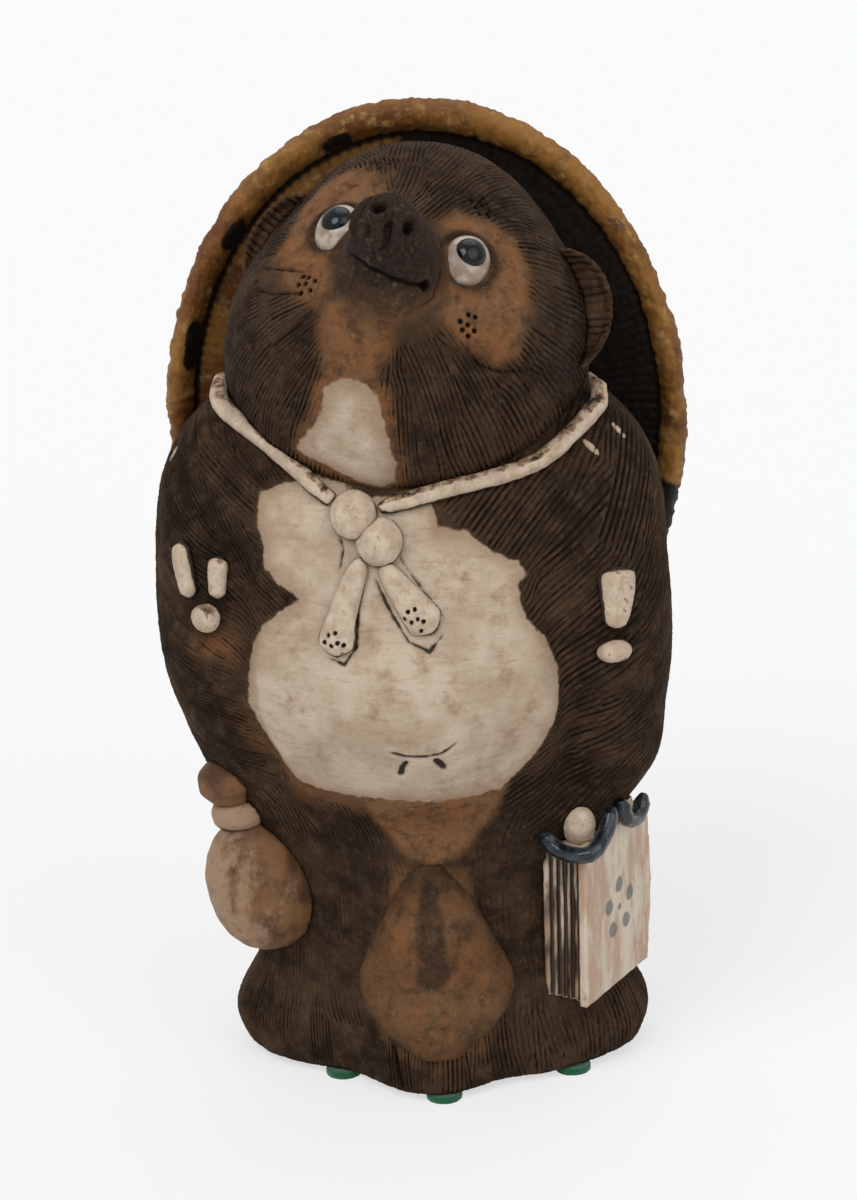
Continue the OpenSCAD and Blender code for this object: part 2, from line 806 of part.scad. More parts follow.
// Round cord through points given by hand
module cord(points, r, sides = 8, between = 3) {
    last = len(points) - 1;
    path = [for (k = [0:last * between])
        let (t = k / between)
        [for (c = [1:3]) smooth_at([for (i = [0:last]) concat([i], points[i])], t, c)]];
    steps = len(path) - 1;
    loft([for (k = [0:steps])
        let (along = unit(path[min(k + 1, steps)] - path[max(k - 1, 0)]))
        let (side = unit(cross([0.3, -0.8, 0.5], along)))
        let (out = cross(along, side))
        let (end = k == 0 || k == steps ? 0.5 : 1)
        [for (j = [0:sides - 1])
            path[k] + (side * cos(360 * j / sides) + out * sin(360 * j / sides)) * r * end]]);
}

module ledger_cord() {
    r = loop_d / 2;
    top = ledger_h + r;
    color("#1d2833") placed() formed() difference() {
        in_ledger() {
            cord([
                [r * 0.4 - ledger_t, -r, top + r * 0.8],
                [-ledger_t / 2, -r * 1.2, top - r * 1.2],
                [r, -r, top - r],
                [r * 1.4, ledger_w * 0.15, top + r * 0.8],
                [r * 1.2, ledger_w * 0.27, top + r * 3.2],
            ], r);
            cord([
                [r * 1.2, ledger_w * 0.41, top + r * 3.2],
                [r * 1.4, ledger_w * 0.49, top + r * 0.4],
                [r * 1.4, ledger_w * 0.66, top - r * 0.4],
                [r * 1.2, ledger_w * 0.8, top + r * 1.6],
            ], r);
        }
        trunk(slip);
        in_ledger() {
            ledger_room();
            knots(slip);
        }
    }
}

module pouch() {
    color("#7c573c") placed() formed() seated() apron(pouch_angle, [
        [pouch_z, pouch_w * 0.125, pouch_t * 0.45],
        [pouch_z + pouch_h * 0.12, pouch_w * 0.36, pouch_t * 0.8],
        [pouch_z + pouch_h * 0.32, pouch_w / 2, pouch_t],
        [pouch_z + pouch_h * 0.6, pouch_w * 0.36, pouch_t],
        [pouch_z + pouch_h * 0.82, pouch_w * 0.22, pouch_t * 0.8],
        [pouch_z + pouch_h, pouch_w * 0.07, pouch_t * 0.33],
    ], 10, 18);
}

module tail() {
    color(fur_clay) placed() formed() seated() apron(90, [
        [tail_z, tail_wide * 0.2, tail_thick * 0.25],
        [tail_z + tail_h * 0.25, tail_wide * 0.48, tail_thick],
        [tail_z + tail_h * 0.5, tail_wide / 2, tail_thick],
        [tail_z + tail_h * 0.8, tail_wide * 0.3, tail_thick * 0.7],
        [tail_z + tail_h, tail_wide * 0.1, tail_thick * 0.2],
    ], 10, 16);
}

body_front();
body_back();
head();
hat();
nose();
eye_right();
eye_left();
pupil_right();
pupil_left();
ear_right();
ear_left();
knot_upper();
knot_lower();
hat_cord_right();
hat_cord_left();
cord_tail_right();
cord_tail_left();
right_paw_claws();
right_paw_thumb();
left_paw_claws();
left_paw_thumb();
flask_body();
flask_band();
flask_stopper();
ledger_leaves();
ledger_cover();
ledger_knots();
ledger_cord();
pouch();
tail();
felt_pads();
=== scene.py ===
"""Looks of a hollow stoneware raccoon dog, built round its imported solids. Lengths are in millimetres."""

import math

import bpy
import numpy as np
from mathutils import Matrix


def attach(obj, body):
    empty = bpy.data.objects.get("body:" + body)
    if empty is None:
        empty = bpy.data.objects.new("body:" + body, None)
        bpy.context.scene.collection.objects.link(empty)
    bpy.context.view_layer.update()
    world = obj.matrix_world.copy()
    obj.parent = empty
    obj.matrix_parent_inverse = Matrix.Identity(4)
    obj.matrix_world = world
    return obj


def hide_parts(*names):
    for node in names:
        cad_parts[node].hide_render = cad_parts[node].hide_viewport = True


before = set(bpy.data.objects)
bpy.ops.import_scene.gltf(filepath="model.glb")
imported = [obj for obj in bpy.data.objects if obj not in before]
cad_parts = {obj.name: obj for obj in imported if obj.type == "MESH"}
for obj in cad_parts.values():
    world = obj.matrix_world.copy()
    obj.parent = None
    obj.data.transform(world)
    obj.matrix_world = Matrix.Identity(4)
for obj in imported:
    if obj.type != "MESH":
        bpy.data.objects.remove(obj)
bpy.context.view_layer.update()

MM = 0.001
rng = np.random.default_rng(7)

# Trunk, as in the part's source
SEAM_Y = -4.3
RIM_Z, FOOT_Z, ANKLE_Z, HIP_Z, CUFF_Z = 2.0, 14.0, 30.0, 62.0, 100.0
BELLY_Z, CHEST_Z, SHOULDER_Z, COLLAR_Z, NECK_Z = 130.0, 162.0, 190.0, 210.0, 220.0
WALL = 8.0
SQUARENESS = 2.25
FOOT_SHIFT, LEAN = 3.0, 6.0

# Height, half width, depth in front of and behind the seam
STATIONS = np.array([
    [RIM_Z, 62, 34, 42],
    [FOOT_Z, 65, 34, 42],
    [ANKLE_Z, 57, 35, 38],
    [HIP_Z, 52, 35, 38],
    [CUFF_Z, 69, 43.5, 38],
    [BELLY_Z, 77, 52, 38],
    [CHEST_Z, 77.5, 52, 38],
    [SHOULDER_Z, 74.5, 44, 38],
    [COLLAR_Z, 61, 27, 36],
    [NECK_Z, 38, 25, 38],
], float)

# Angle, height, spread round, spread up, amount
SWELLINGS = [
    (268, 126, 34, 32, 12),
    (268, 86, 34, 9, -3),
    (267, 44, 26, 40, 11),
    (268, RIM_Z, 30, 22, 11),
    (224, 8, 14, 16, -2),
    (316, 8, 14, 16, 3),
    (205, 146, 13, 34, 5),
    (336, 138, 13, 34, 5),
    (348, CUFF_Z, 20, 14, 4),
]
# Angle and height of the upper end and of the lower end, spread, depth
CREASES = [
    (218, 172, 220, 108, 6, 5),
    (315, 166, 323, CUFF_Z, 6, 5),
]
CREASE_FADE = 8.0

# Head, as in the part's source
HEAD_W, HEAD_H, HEAD_FRONT, HEAD_BACK = 112.0, 116.0, 52.0, 58.0
HEAD_BEHIND_SEAM, HEAD_OVER_COLLAR = 5.0, 21.0
HEAD_PLACE = np.array([FOOT_SHIFT - LEAN, HEAD_BEHIND_SEAM + SEAM_Y, COLLAR_Z + HEAD_OVER_COLLAR])
FACE_UP, FACE_TURN, FACE_LEAN = 44, 1, 17
# Turn to its left and rise of the snout, from the face's own straight ahead
SNOUT = (-1, -7)
# Turn, rise, spread, amount
HEAD_BUMPS = [
    (*SNOUT, 11, 24),
    (1, -20, 16, 8),
    (-42, -30, 22, 3),
    (46, -20, 22, 3),
    (-66, 22, 26, -7),
    (64, 42, 24, -4),
    (-88, -4, 18, -4),
]

# Hat, as in the part's source
HAT_W, HAT_H, HAT_DEPTH, HAT_T, RIM_R = 164.0, 198.0, 18.0, 6.0, 5.5
HAT_BEHIND_SEAM, HAT_OVER_SHOULDER = 48.0, 1.0
HAT_PLACE = np.array([0, HAT_BEHIND_SEAM + SEAM_Y, SHOULDER_Z + HAT_OVER_SHOULDER])
HAT_LEAN, HAT_TURN = 8, -2

EYE_TURN, EYE_RISE, EYE_LEAN = 22, 2, 8
EYE_HALF = np.array([7.0, 4.5, 8.5])
PUPIL_HALF = np.array([4.9, 3.75, 5.1])
# How far the middle of each ball lies outside the head's skin, and how much higher the pupil looks
EYE_LIFT, PUPIL_LIFT, PUPIL_RISE = -1.5, 0.7, 1.5


def turned(axis, degrees):
    """Matrix of a turn about one axis, by the right-hand rule."""
    c = math.cos(math.radians(degrees))
    s = math.sin(math.radians(degrees))
    if axis == "x":
        return np.array([[1, 0, 0], [0, c, -s], [0, s, c]])
    if axis == "y":
        return np.array([[c, 0, s], [0, 1, 0], [-s, 0, c]])
    return np.array([[c, -s, 0], [s, c, 0], [0, 0, 1]])


FACE = turned("z", FACE_TURN) @ turned("x", -FACE_UP) @ turned("y", FACE_LEAN)
HAT = turned("y", HAT_TURN) @ turned("x", -HAT_LEAN)


def unit(v):
    return v / np.maximum(1e-9, np.linalg.norm(v, axis=-1, keepdims=True))


def step(low, high, x):
    """Smooth rise from 0 at low to 1 at high."""
    t = np.clip((np.asarray(x, float) - low) / (high - low), 0, 1)
    return t * t * (3 - 2 * t)


def hill(distance, spread):
    return np.exp(-((distance / spread) ** 2))


def smooth_at(table, z, column):
    """Smooth curve through one column of a table, at height z."""
    x, v = table[:, 0], table[:, column]
    i = np.clip(np.searchsorted(x, z, side="right") - 1, 0, len(x) - 2)
    h = x[i + 1] - x[i]
    s = np.clip((z - x[i]) / h, 0, 1)
    before = np.maximum(i - 1, 0)
    after = np.minimum(i + 2, len(x) - 1)
    m0 = (v[i + 1] - v[before]) / (x[i + 1] - x[before]) * h
    m1 = (v[after] - v[i]) / (x[after] - x[i]) * h
    return ((2 * s**3 - 3 * s**2 + 1) * v[i] + (s**3 - 2 * s**2 + s) * m0
            + (3 * s**2 - 2 * s**3) * v[i + 1] + (s**3 - s**2) * m1)


def turn_between(a, b):
    return np.abs((a - b + 540) % 360 - 180)


def trunk_r(a, z):
    """Distance from the trunk's axis to its skin, at angle a and height z."""
    a, z = np.broadcast_arrays(np.asarray(a, float), np.asarray(z, float))
    c, s = np.cos(np.radians(a)), np.sin(np.radians(a))
    w = smooth_at(STATIONS, z, 1)
    d = np.where(s < 0, smooth_at(STATIONS, z, 2), smooth_at(STATIONS, z, 3))
    r = (np.abs(c / w) ** SQUARENESS + np.abs(s / d) ** SQUARENESS) ** (-1 / SQUARENESS)
    for angle, height, round_, up, amount in SWELLINGS:
        r = r + amount * hill(turn_between(a, angle), round_) * hill(z - height, up)
    for a_top, z_top, a_low, z_low, spread, depth in CREASES:
        t = np.clip((z - z_low) / (z_top - z_low), 0, 1)
        beyond = np.maximum(0, np.maximum(z - z_top, z_low - z))
        across = turn_between(a, a_low + (a_top - a_low) * t)
        r = r - depth * hill(across, spread) * hill(beyond, CREASE_FADE)
    return r


def axis_x(z):
    return FOOT_SHIFT - LEAN * np.minimum(1, (np.asarray(z, float) - RIM_Z) / (CHEST_Z - RIM_Z))


def trunk_point(a, z, lift=0.0):
    a, z = np.broadcast_arrays(np.asarray(a, float), np.asarray(z, float))
    r = trunk_r(a, z) + lift
    x = axis_x(z) + r * np.cos(np.radians(a))
    y = SEAM_Y + r * np.sin(np.radians(a))
    return np.stack([x, y, z], -1)


def trunk_place(points):
    """Angle and height of points, and their lift off the trunk's skin."""
    dx = points[:, 0] - axis_x(points[:, 2])
    dy = points[:, 1] - SEAM_Y
    a = np.degrees(np.arctan2(dy, dx)) % 360
    return a, points[:, 2], np.hypot(dx, dy) - trunk_r(a, np.clip(points[:, 2], RIM_Z, NECK_Z))


def face_dir(turn, rise):
    """Unit direction at a turn to the left and a rise, in degrees."""
    turn, rise = np.radians(turn), np.radians(rise)
    flat = np.cos(rise)
    return np.stack([np.sin(turn) * flat, -np.cos(turn) * flat, np.sin(rise) + 0 * turn], -1)


def head_r(d):
    """Distance from the head's middle to its skin, in direction d of the face's own frame."""
    length = np.where(d[..., 1] < 0, HEAD_FRONT, HEAD_BACK)
    r = 1 / np.sqrt((d[..., 0] / (HEAD_W / 2)) ** 2 + (d[..., 2] / (HEAD_H / 2)) ** 2
                    + (d[..., 1] / length) ** 2)
    for turn, rise, spread, amount in HEAD_BUMPS:
        r = r + amount * hill(head_angle(d, turn, rise), spread)
    return r


def head_angle(d, turn, rise):
    """Angle between direction d and the place at turn and rise, in degrees."""
    return np.degrees(np.arccos(np.clip(d @ face_dir(turn, rise), -1, 1)))


def head_point(turn, rise, lift=0.0):
    d = face_dir(turn, rise)
    return HEAD_PLACE + (d * (head_r(d) + lift)[..., None]) @ FACE.T


def head_place(points):
    """Direction of points in the face's own frame, and their lift off the head's skin."""
    local = (points - HEAD_PLACE) @ FACE
    r = np.linalg.norm(local, axis=-1)
    d = local / np.maximum(r, 1e-6)[:, None]
    return d, r - head_r(d)


def noise(points, size, seed=0):
    """Smooth random values from -1 to 1, with waves of the given size."""
    q = points / size + 100.0 + seed * 17.31
    cell = np.floor(q).astype(np.int64)
    f = q - cell
    f = f * f * (3 - 2 * f)
    total = np.zeros(len(points))
    for corner in range(8):
        bits = np.array([corner & 1, corner >> 1 & 1, corner >> 2 & 1])
        c = cell + bits
        key = (c[:, 0] * 73856093) ^ (c[:, 1] * 19349663) ^ (c[:, 2] * 83492791) ^ (seed * 2654435)
        value = np.sin((key & 0xFFFFF) * 12.9898) * 43758.5453
        value = (value - np.floor(value)) * 2 - 1
        total += value * np.where(bits, f, 1 - f).prod(1)
    return total


def cloud(points, size, seed=0, layers=3):
    """Noise of several sizes, from -1 to 1."""
    total = sum(noise(points, size / 2**k, seed + k) / 2**k for k in range(layers))
    return total / (2 - 0.5 ** (layers - 1))


def grid_normals(points, wrap_rows=False):
    """Outward normals of a grid of rings, each ring closed."""
    along = np.roll(points, -1, 1) - np.roll(points, 1, 1)
    if wrap_rows:
        across = np.roll(points, -1, 0) - np.roll(points, 1, 0)
    else:
        across = np.gradient(points, axis=0)
    return unit(np.cross(along, across))


def ring_faces(rows, columns, wrap_rows=False):
    i, j = np.indices((rows if wrap_rows else rows - 1, columns)).reshape(2, -1)
    k, n = (j + 1) % columns, (i + 1) % rows
    return np.stack([i * columns + j, i * columns + k, n * columns + k, n * columns + j], 1).tolist()


def capped(rings, sides):
    """Faces of a stack of rings with both ends closed."""
    faces = ring_faces(rings, sides)
    faces.append(list(range(sides))[::-1])
    faces.append([(rings - 1) * sides + j for j in range(sides)])
    return faces


def ball(t, sides):
    """Directions of a ball's rings, at angles t from straight ahead."""
    t = t[:, None]
    a = np.linspace(0, 2 * math.pi, sides, endpoint=False)[None, :]
    return np.stack([np.sin(t) * np.cos(a), -np.cos(t) + 0 * a, -np.sin(t) * np.sin(a)], -1)


def linked(name, data):
    thing = bpy.data.objects.new(name, data)
    bpy.context.scene.collection.objects.link(thing)
    return thing


def dress(piece, material, nodes, attributes):
    """Give a piece its attributes and material, hang it from the root, and hide the imported solids it
    takes the place of.
    """
    mesh = piece.data
    mesh.polygons.foreach_set("use_smooth", np.ones(len(mesh.polygons), bool))
    for key, values in attributes.items():
        layer = mesh.attributes.new(key, "FLOAT", "POINT")
        layer.data.foreach_set("value", np.asarray(values, np.float32).ravel())
    mesh.update()
    mesh.materials.clear()
    mesh.materials.append(material)
    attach(piece, "root")
    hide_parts(*nodes)


def add_mesh(name, points, faces, material, nodes, attributes):
    """New piece of the figure, from points in millimetres."""
    mesh = bpy.data.meshes.new(name)
    mesh.from_pydata((points * MM).tolist(), [], faces)
    dress(linked(name, mesh), material, nodes, attributes)


# Tools that mark the clay; comb, cut and punch return how deep they go at each point, in millimetres

def comb(points, normals, strokes):
    """Grooves of comb strokes; a later stroke smears what it crosses."""
    depth = np.zeros(len(points))
    flat = points.astype(np.float32)
    for s in strokes:
        away = ((flat - s["at"].astype(np.float32)) ** 2).sum(1)
        near = np.nonzero(away < (s["length"] / 2 + 4) ** 2)[0]
        q = points[near] - s["at"]
        t = q @ s["along"] / (s["length"] / 2)
        across = q @ np.cross(s["normal"], s["along"]) + s["bend"] * t * t
        facing = normals[near] @ s["normal"] > 0.25
        half = s["teeth"] * s["pitch"] / 2
        inside = step(1.0, 0.75, np.abs(t)) * step(half + 0.4, half - 0.2, np.abs(across)) * facing
        wave = 0.5 + 0.5 * np.cos(2 * np.pi * (across + half) / s["pitch"])
        tooth = np.floor((across + half) / s["pitch"] + 0.5)
        press = 0.75 + 0.25 * np.sin(tooth * 5.1 + s["at"][2])
        groove = s["depth"] * press * (1 - wave) ** 2.2
        depth[near] = depth[near] * (1 - 0.8 * inside) + groove * inside
    return depth * (0.85 + 0.35 * noise(points, 1.3, 6))


def combed(points, normals, seed, count, heading, **size):
    """Comb strokes at random places of a piece; heading(i, pick) gives the way of each."""
    pick = np.random.default_rng(seed)
    strokes = []
    for _ in range(count):
        i = int(pick.integers(len(points)))
        way = heading(i, pick)
        n = normals[i]
        along = unit(way - (way @ n) * n)
        strokes.append({"at": points[i], "normal": n, "along": along, "bend": 0.0, **size})
    return comb(points, normals, strokes)


def line_distance(points, path):
    """Distance of points from a path, and how far along it they are, from 0 to 1."""
    best = np.full(len(points), 1e9)
    where = np.zeros(len(points))
    for k in range(len(path) - 1):
        a, b = path[k], path[k + 1]
        ab = b - a
        t = np.clip((points - a) @ ab / (ab @ ab), 0, 1)
        d = np.linalg.norm(points - a - t[:, None] * ab, axis=1)
        closer = d < best
        best[closer] = d[closer]
        where[closer] = ((k + t) / (len(path) - 1))[closer]
    return best, where


def cut(points, path, width, depth, ragged=0.3):
    """Line drawn with a needle or a stick, thinner at its ends."""
    path = np.asarray(path)
    middle = path.mean(0)
    longest = np.linalg.norm(path - middle, axis=1).max()
    reach = np.linalg.norm(points - middle, axis=1) < longest + 4
    result = np.zeros(len(points))
    p = points[reach]
    d, t = line_distance(p, path)
    d = d + ragged * noise(p, 1.6, 5)
    taper = np.sqrt(np.clip(1 - np.abs(2 * t - 1) ** 4, 0, 1))
    result[reach] = depth * hill(d, width / 2) * (0.4 + 0.6 * taper)
    return result


def skin_path(on_skin, places):
    """Path along a skin through places that are given by two angles, or by angle and height."""
    dense = []
    for (a0, b0), (a1, b1) in zip(places, places[1:]):
        for t in np.linspace(0, 1, 6, endpoint=False):
            dense.append((a0 + (a1 - a0) * t, b0 + (b1 - b0) * t))
    dense.append(places[-1])
    return on_skin(*np.array(dense, float).T)


def cut_lines(points, on_skin, lines):
    """Depth of several cuts; each line is its width, its depth and its places."""
    marks = np.zeros(len(points))
    for width, depth, *places in lines:
        marks = np.maximum(marks, cut(points, skin_path(on_skin, places), width, depth))
    return marks


def punch(points, places, radius, depth):
    """Round holes made with a nail."""
    result = np.zeros(len(points))
    for place in places:
        d = np.linalg.norm(points - place, axis=1)
        result = np.maximum(result, depth * step(radius * 1.15, radius * 0.6, d))
    return result


def inside_outline(u, v, outline):
    """Distance inside a closed outline, in the outline's own units; negative outside."""
    outline = np.asarray(outline, float)
    inside = np.zeros(u.shape, bool)
    best = np.full(u.shape, 1e9)
    for k in range(len(outline)):
        (u0, v0), (u1, v1) = outline[k], outline[(k + 1) % len(outline)]
        crosses = (v0 > v) != (v1 > v)
        with np.errstate(divide="ignore", invalid="ignore"):
            inside ^= crosses & (u < (u1 - u0) * (v - v0) / (v1 - v0) + u0)
        du, dv = u1 - u0, v1 - v0
        t = np.clip(((u - u0) * du + (v - v0) * dv) / (du * du + dv * dv), 0, 1)
        best = np.minimum(best, np.hypot(u - u0 - t * du, v - v0 - t * dv))
    return np.where(inside, best, -best)


# Materials

def colour(r, g, b):
    """Colour from the 0 to 255 scale of a screen."""
    def linear(c):
        c = c / 255
        return c / 12.92 if c < 0.04045 else ((c + 0.055) / 1.055) ** 2.4
    return (linear(r), linear(g), linear(b), 1)


class Look:
    """A material and the nodes that make it."""

    def __init__(self, name, roughness=0.8, specular=0.3, coat=0.0, coat_roughness=0.1):
        self.material = bpy.data.materials.new(name)
        self.material.use_nodes = True
        self.tree = self.material.node_tree
        self.shader = self.tree.nodes["Principled BSDF"]
        self.shader.inputs["Roughness"].default_value = roughness
        self.shader.inputs["Specular IOR Level"].default_value = specular
        self.shader.inputs["Coat Weight"].default_value = coat
        self.shader.inputs["Coat Roughness"].default_value = coat_roughness
        self.place = self.node("ShaderNodeTexCoord").outputs["Object"]
        self.normal = None

    def node(self, kind, **settings):
        node = self.tree.nodes.new(kind)
        for key, value in settings.items():
            setattr(node, key, value)
        return node

    def join(self, source, target):
        if isinstance(source, (int, float, tuple)):
            target.default_value = source
        else:
            self.tree.links.new(source, target)

    def math(self, operation, a, b=0.0, clamp=False):
        node = self.node("ShaderNodeMath", operation=operation, use_clamp=clamp)
        self.join(a, node.inputs[0])
        self.join(b, node.inputs[1])
        return node.outputs[0]

    def ramp(self, value, low, high, out_low=0.0, out_high=1.0):
        node = self.node("ShaderNodeMapRange", interpolation_type="SMOOTHSTEP")
        for socket, x in zip(node.inputs[:5], (value, low, high, out_low, out_high)):
            self.join(x, socket)
        return node.outputs[0]

    def noise(self, size, detail=4.0, rough=0.6, stretch=(1, 1, 1), offset=0.0):
        """Noise with waves of the given size in millimetres, from 0 to 1."""
        mapping = self.node("ShaderNodeMapping")
        mapping.inputs["Scale"].default_value = stretch
        mapping.inputs["Location"].default_value = (offset, offset, offset)
        self.join(self.place, mapping.inputs["Vector"])
        node = self.node("ShaderNodeTexNoise")
        self.join(mapping.outputs[0], node.inputs["Vector"])
        node.inputs["Scale"].default_value = 1 / (size * MM)
        node.inputs["Detail"].default_value = detail
        node.inputs["Roughness"].default_value = rough
        return node.outputs["Fac"]

    def attribute(self, name):
        return self.node("ShaderNodeAttribute", attribute_name=name).outputs["Fac"]

    def mix(self, amount, a, b):
        node = self.node("ShaderNodeMix", data_type="RGBA")
        self.join(amount, node.inputs["Factor"])
        self.join(a, node.inputs["A"])
        self.join(b, node.inputs["B"])
        return node.outputs["Result"]

    def stain(self, base, tint, value, low, high, least=0.0, most=1.0):
        """A tint laid over the base where the value goes from low to high."""
        return self.mix(self.ramp(value, low, high, least, most), base, tint)

    def ragged(self, name, value, amount):
        """An attribute with noise added, so that its edges break up."""
        offset = self.math("MULTIPLY", self.math("SUBTRACT", value, 0.5), amount)
        return self.math("ADD", self.attribute(name), offset)

    def bump(self, height, distance, strength=1.0):
        node = self.node("ShaderNodeBump")
        node.inputs["Strength"].default_value = strength
        node.inputs["Distance"].default_value = distance * MM
        self.join(height, node.inputs["Height"])
        if self.normal is not None:
            self.join(self.normal, node.inputs["Normal"])
        self.normal = node.outputs[0]

    def finish(self, base, roughness=None):
        self.join(base, self.shader.inputs["Base Color"])
        if roughness is not None:
            self.join(roughness, self.shader.inputs["Roughness"])
        if self.normal is not None:
            self.join(self.normal, self.shader.inputs["Normal"])
        return self.material


DARK_FUR = colour(36, 25, 16)
BROWN_FUR = colour(68, 50, 35)
WORN_FUR = colour(108, 84, 62)
GROOVE = colour(22, 14, 9)
TAN = colour(126, 92, 62)
ORANGE = colour(134, 90, 56)
CHARCOAL = colour(48, 38, 32)
CREAM = colour(180, 159, 136)
CREAM_PALE = colour(204, 186, 165)
CREAM_WORN = colour(146, 117, 90)
PAINT_EDGE = 10.0


def clay_look(name, cream=True):
    """Iron-washed clay with tan skin, soot and painted shade, grooves darkened by iron wash and painted
    shade, and cream paint, each where its attribute says.
    """
    look = Look(name, roughness=0.8, specular=0.12)
    wide = look.noise(26, 3)
    fine = look.noise(1.1, 5, 0.7, offset=0.3)
    grain = look.noise(0.35, 3, 0.6, offset=0.7)
    groove = look.attribute("groove")
    base = look.stain(DARK_FUR, BROWN_FUR, wide, 0.35, 0.65)
    rubbed = look.ramp(look.noise(4.5, 6, 0.75, offset=1.7), 0.42, 0.72)
    worn = look.math("MULTIPLY", rubbed, look.ramp(groove, 0.45, 0.05))
    base = look.mix(look.math("MULTIPLY", worn, 0.42), base, WORN_FUR)
    crumb = look.noise(0.7, 4, 0.7, offset=1.1)
    base = look.stain(base, GROOVE, crumb, 0.52, 0.72, 0, 0.6)
    patchy = look.ramp(look.noise(9, 5, 0.65), 0.2, 0.55, 0.6, 1.0)
    tan = look.math("MULTIPLY", look.attribute("tan"), patchy, clamp=True)
    skin = look.stain(TAN, ORANGE, look.noise(14, 4), 0.4, 0.62)
    skin = look.stain(skin, BROWN_FUR, look.noise(6, 6, 0.75, offset=2.1), 0.44, 0.68, 0, 0.8)
    skin = look.stain(skin, colour(158, 122, 88), look.noise(3, 6, 0.75, offset=3.1), 0.54, 0.7, 0, 0.5)
    skin = look.stain(skin, BROWN_FUR, fine, 0.5, 0.75, 0, 0.5)
    base = look.mix(tan, base, skin)
    # Grooves darkened: iron wash in the hollows, and painted shade.
    base = look.stain(base, GROOVE, groove, 0.1, 0.75)
    # Soot on the head, and painted shade at the sides of the belly's tip, laid where the soot and shade
    # attribute says.
    patchy = look.ramp(look.noise(7, 5, 0.7), 0.25, 0.5, 0.6, 1.0)
    soot_and_shade = look.math("MULTIPLY", look.attribute("soot_and_shade"), patchy)
    soot_and_shade_colour = look.stain(GROOVE, CHARCOAL, fine, 0.35, 0.55)
    soot_and_shade_colour = look.stain(soot_and_shade_colour, WORN_FUR, look.noise(2.6, 6, 0.75, offset=2.7), 0.52, 0.72, 0, 0.75)
    base = look.mix(soot_and_shade, base, soot_and_shade_colour)
    if cream:
        edge = look.ragged("cream", look.noise(4.5, 6, 0.7), 4.0)
        bite = look.math("MULTIPLY", look.ramp(groove, 0.25, 0.6), look.ramp(edge, 16.0, 9.0))
        paint = look.math("SUBTRACT", look.ramp(edge, PAINT_EDGE - 0.5, PAINT_EDGE + 0.5), bite, clamp=True)
        wipe = look.noise(1.6, 5, 0.7, stretch=(0.16, 0.16, 1.0), offset=0.2)
        body = look.stain(CREAM, CREAM_PALE, look.noise(17, 5, 0.65), 0.35, 0.65)
        body = look.stain(body, CREAM_WORN, wipe, 0.5, 0.75, 0, 0.45)
        body = look.stain(body, CREAM_WORN, look.noise(9, 6, 0.7, offset=0.5), 0.5, 0.75, 0, 0.75)
        thin = look.math("MULTIPLY", look.ramp(edge, 17.0, 9.5), 0.6)
        body = look.mix(thin, body, CREAM_WORN)
        body = look.stain(body, BROWN_FUR, look.noise(0.8, 3, 0.5, offset=0.9), 0.68, 0.78, 0, 0.55)
        # Paint darkened in the grooves: iron wash and painted shade.
        body = look.stain(body, GROOVE, groove, 0.3, 0.8)
        base = look.mix(paint, base, body)
        # Cut lines and punched holes darkened: iron wash and painted shade in them; on the nose, painted
        # shade alone.
        base = look.stain(base, GROOVE, look.attribute("mark"), 0.2, 0.9, 0, 0.9)
        look.bump(look.math("MULTIPLY", wipe, paint), 0.2, 0.4)
        look.bump(paint, 0.15, 0.6)
    look.bump(fine, 0.5, 0.7)
    look.bump(crumb, 0.35, 0.6)
    look.bump(grain, 0.15, 0.6)
    return look.finish(base)


clay = clay_look("combed_clay")


def cream_look():
    """Cream slip, chipped to the dark clay where its wear and shade attribute is high; that attribute also
    holds painted shade near where a piece meets the trunk.
    """
    look = Look("cream_slip", roughness=0.62, specular=0.3)
    patches = look.noise(5, 5, 0.65)
    fine = look.noise(0.8, 4, 0.6)
    base = look.stain(CREAM, CREAM_PALE, patches, 0.35, 0.65)
    base = look.stain(base, CREAM_WORN, look.noise(2.2, 5, 0.7, offset=0.4), 0.5, 0.75, 0, 0.7)
    wear_and_shade = look.ragged("wear_and_shade", patches, 1.6)
    # Chipped slip, and painted shade near a piece's seat on the trunk.
    base = look.stain(base, CREAM_WORN, wear_and_shade, 0.5, 0.62)
    base = look.stain(base, CHARCOAL, wear_and_shade, 0.62, 0.78)
    # Painted shade where a piece meets the trunk, and darker punched holes on the tails.
    base = look.stain(base, GROOVE, look.attribute("groove"), 0.15, 0.6)
    base = look.stain(base, CHARCOAL, look.noise(0.7, 2, 0.5, offset=0.8), 0.7, 0.78, 0, 0.7)
    look.bump(look.ramp(wear_and_shade, 0.7, 0.5), 0.25, 0.7)
    look.bump(fine, 0.2, 0.4)
    return look.finish(base, look.ramp(fine, 0.3, 0.7, 0.55, 0.75))


cream = cream_look()


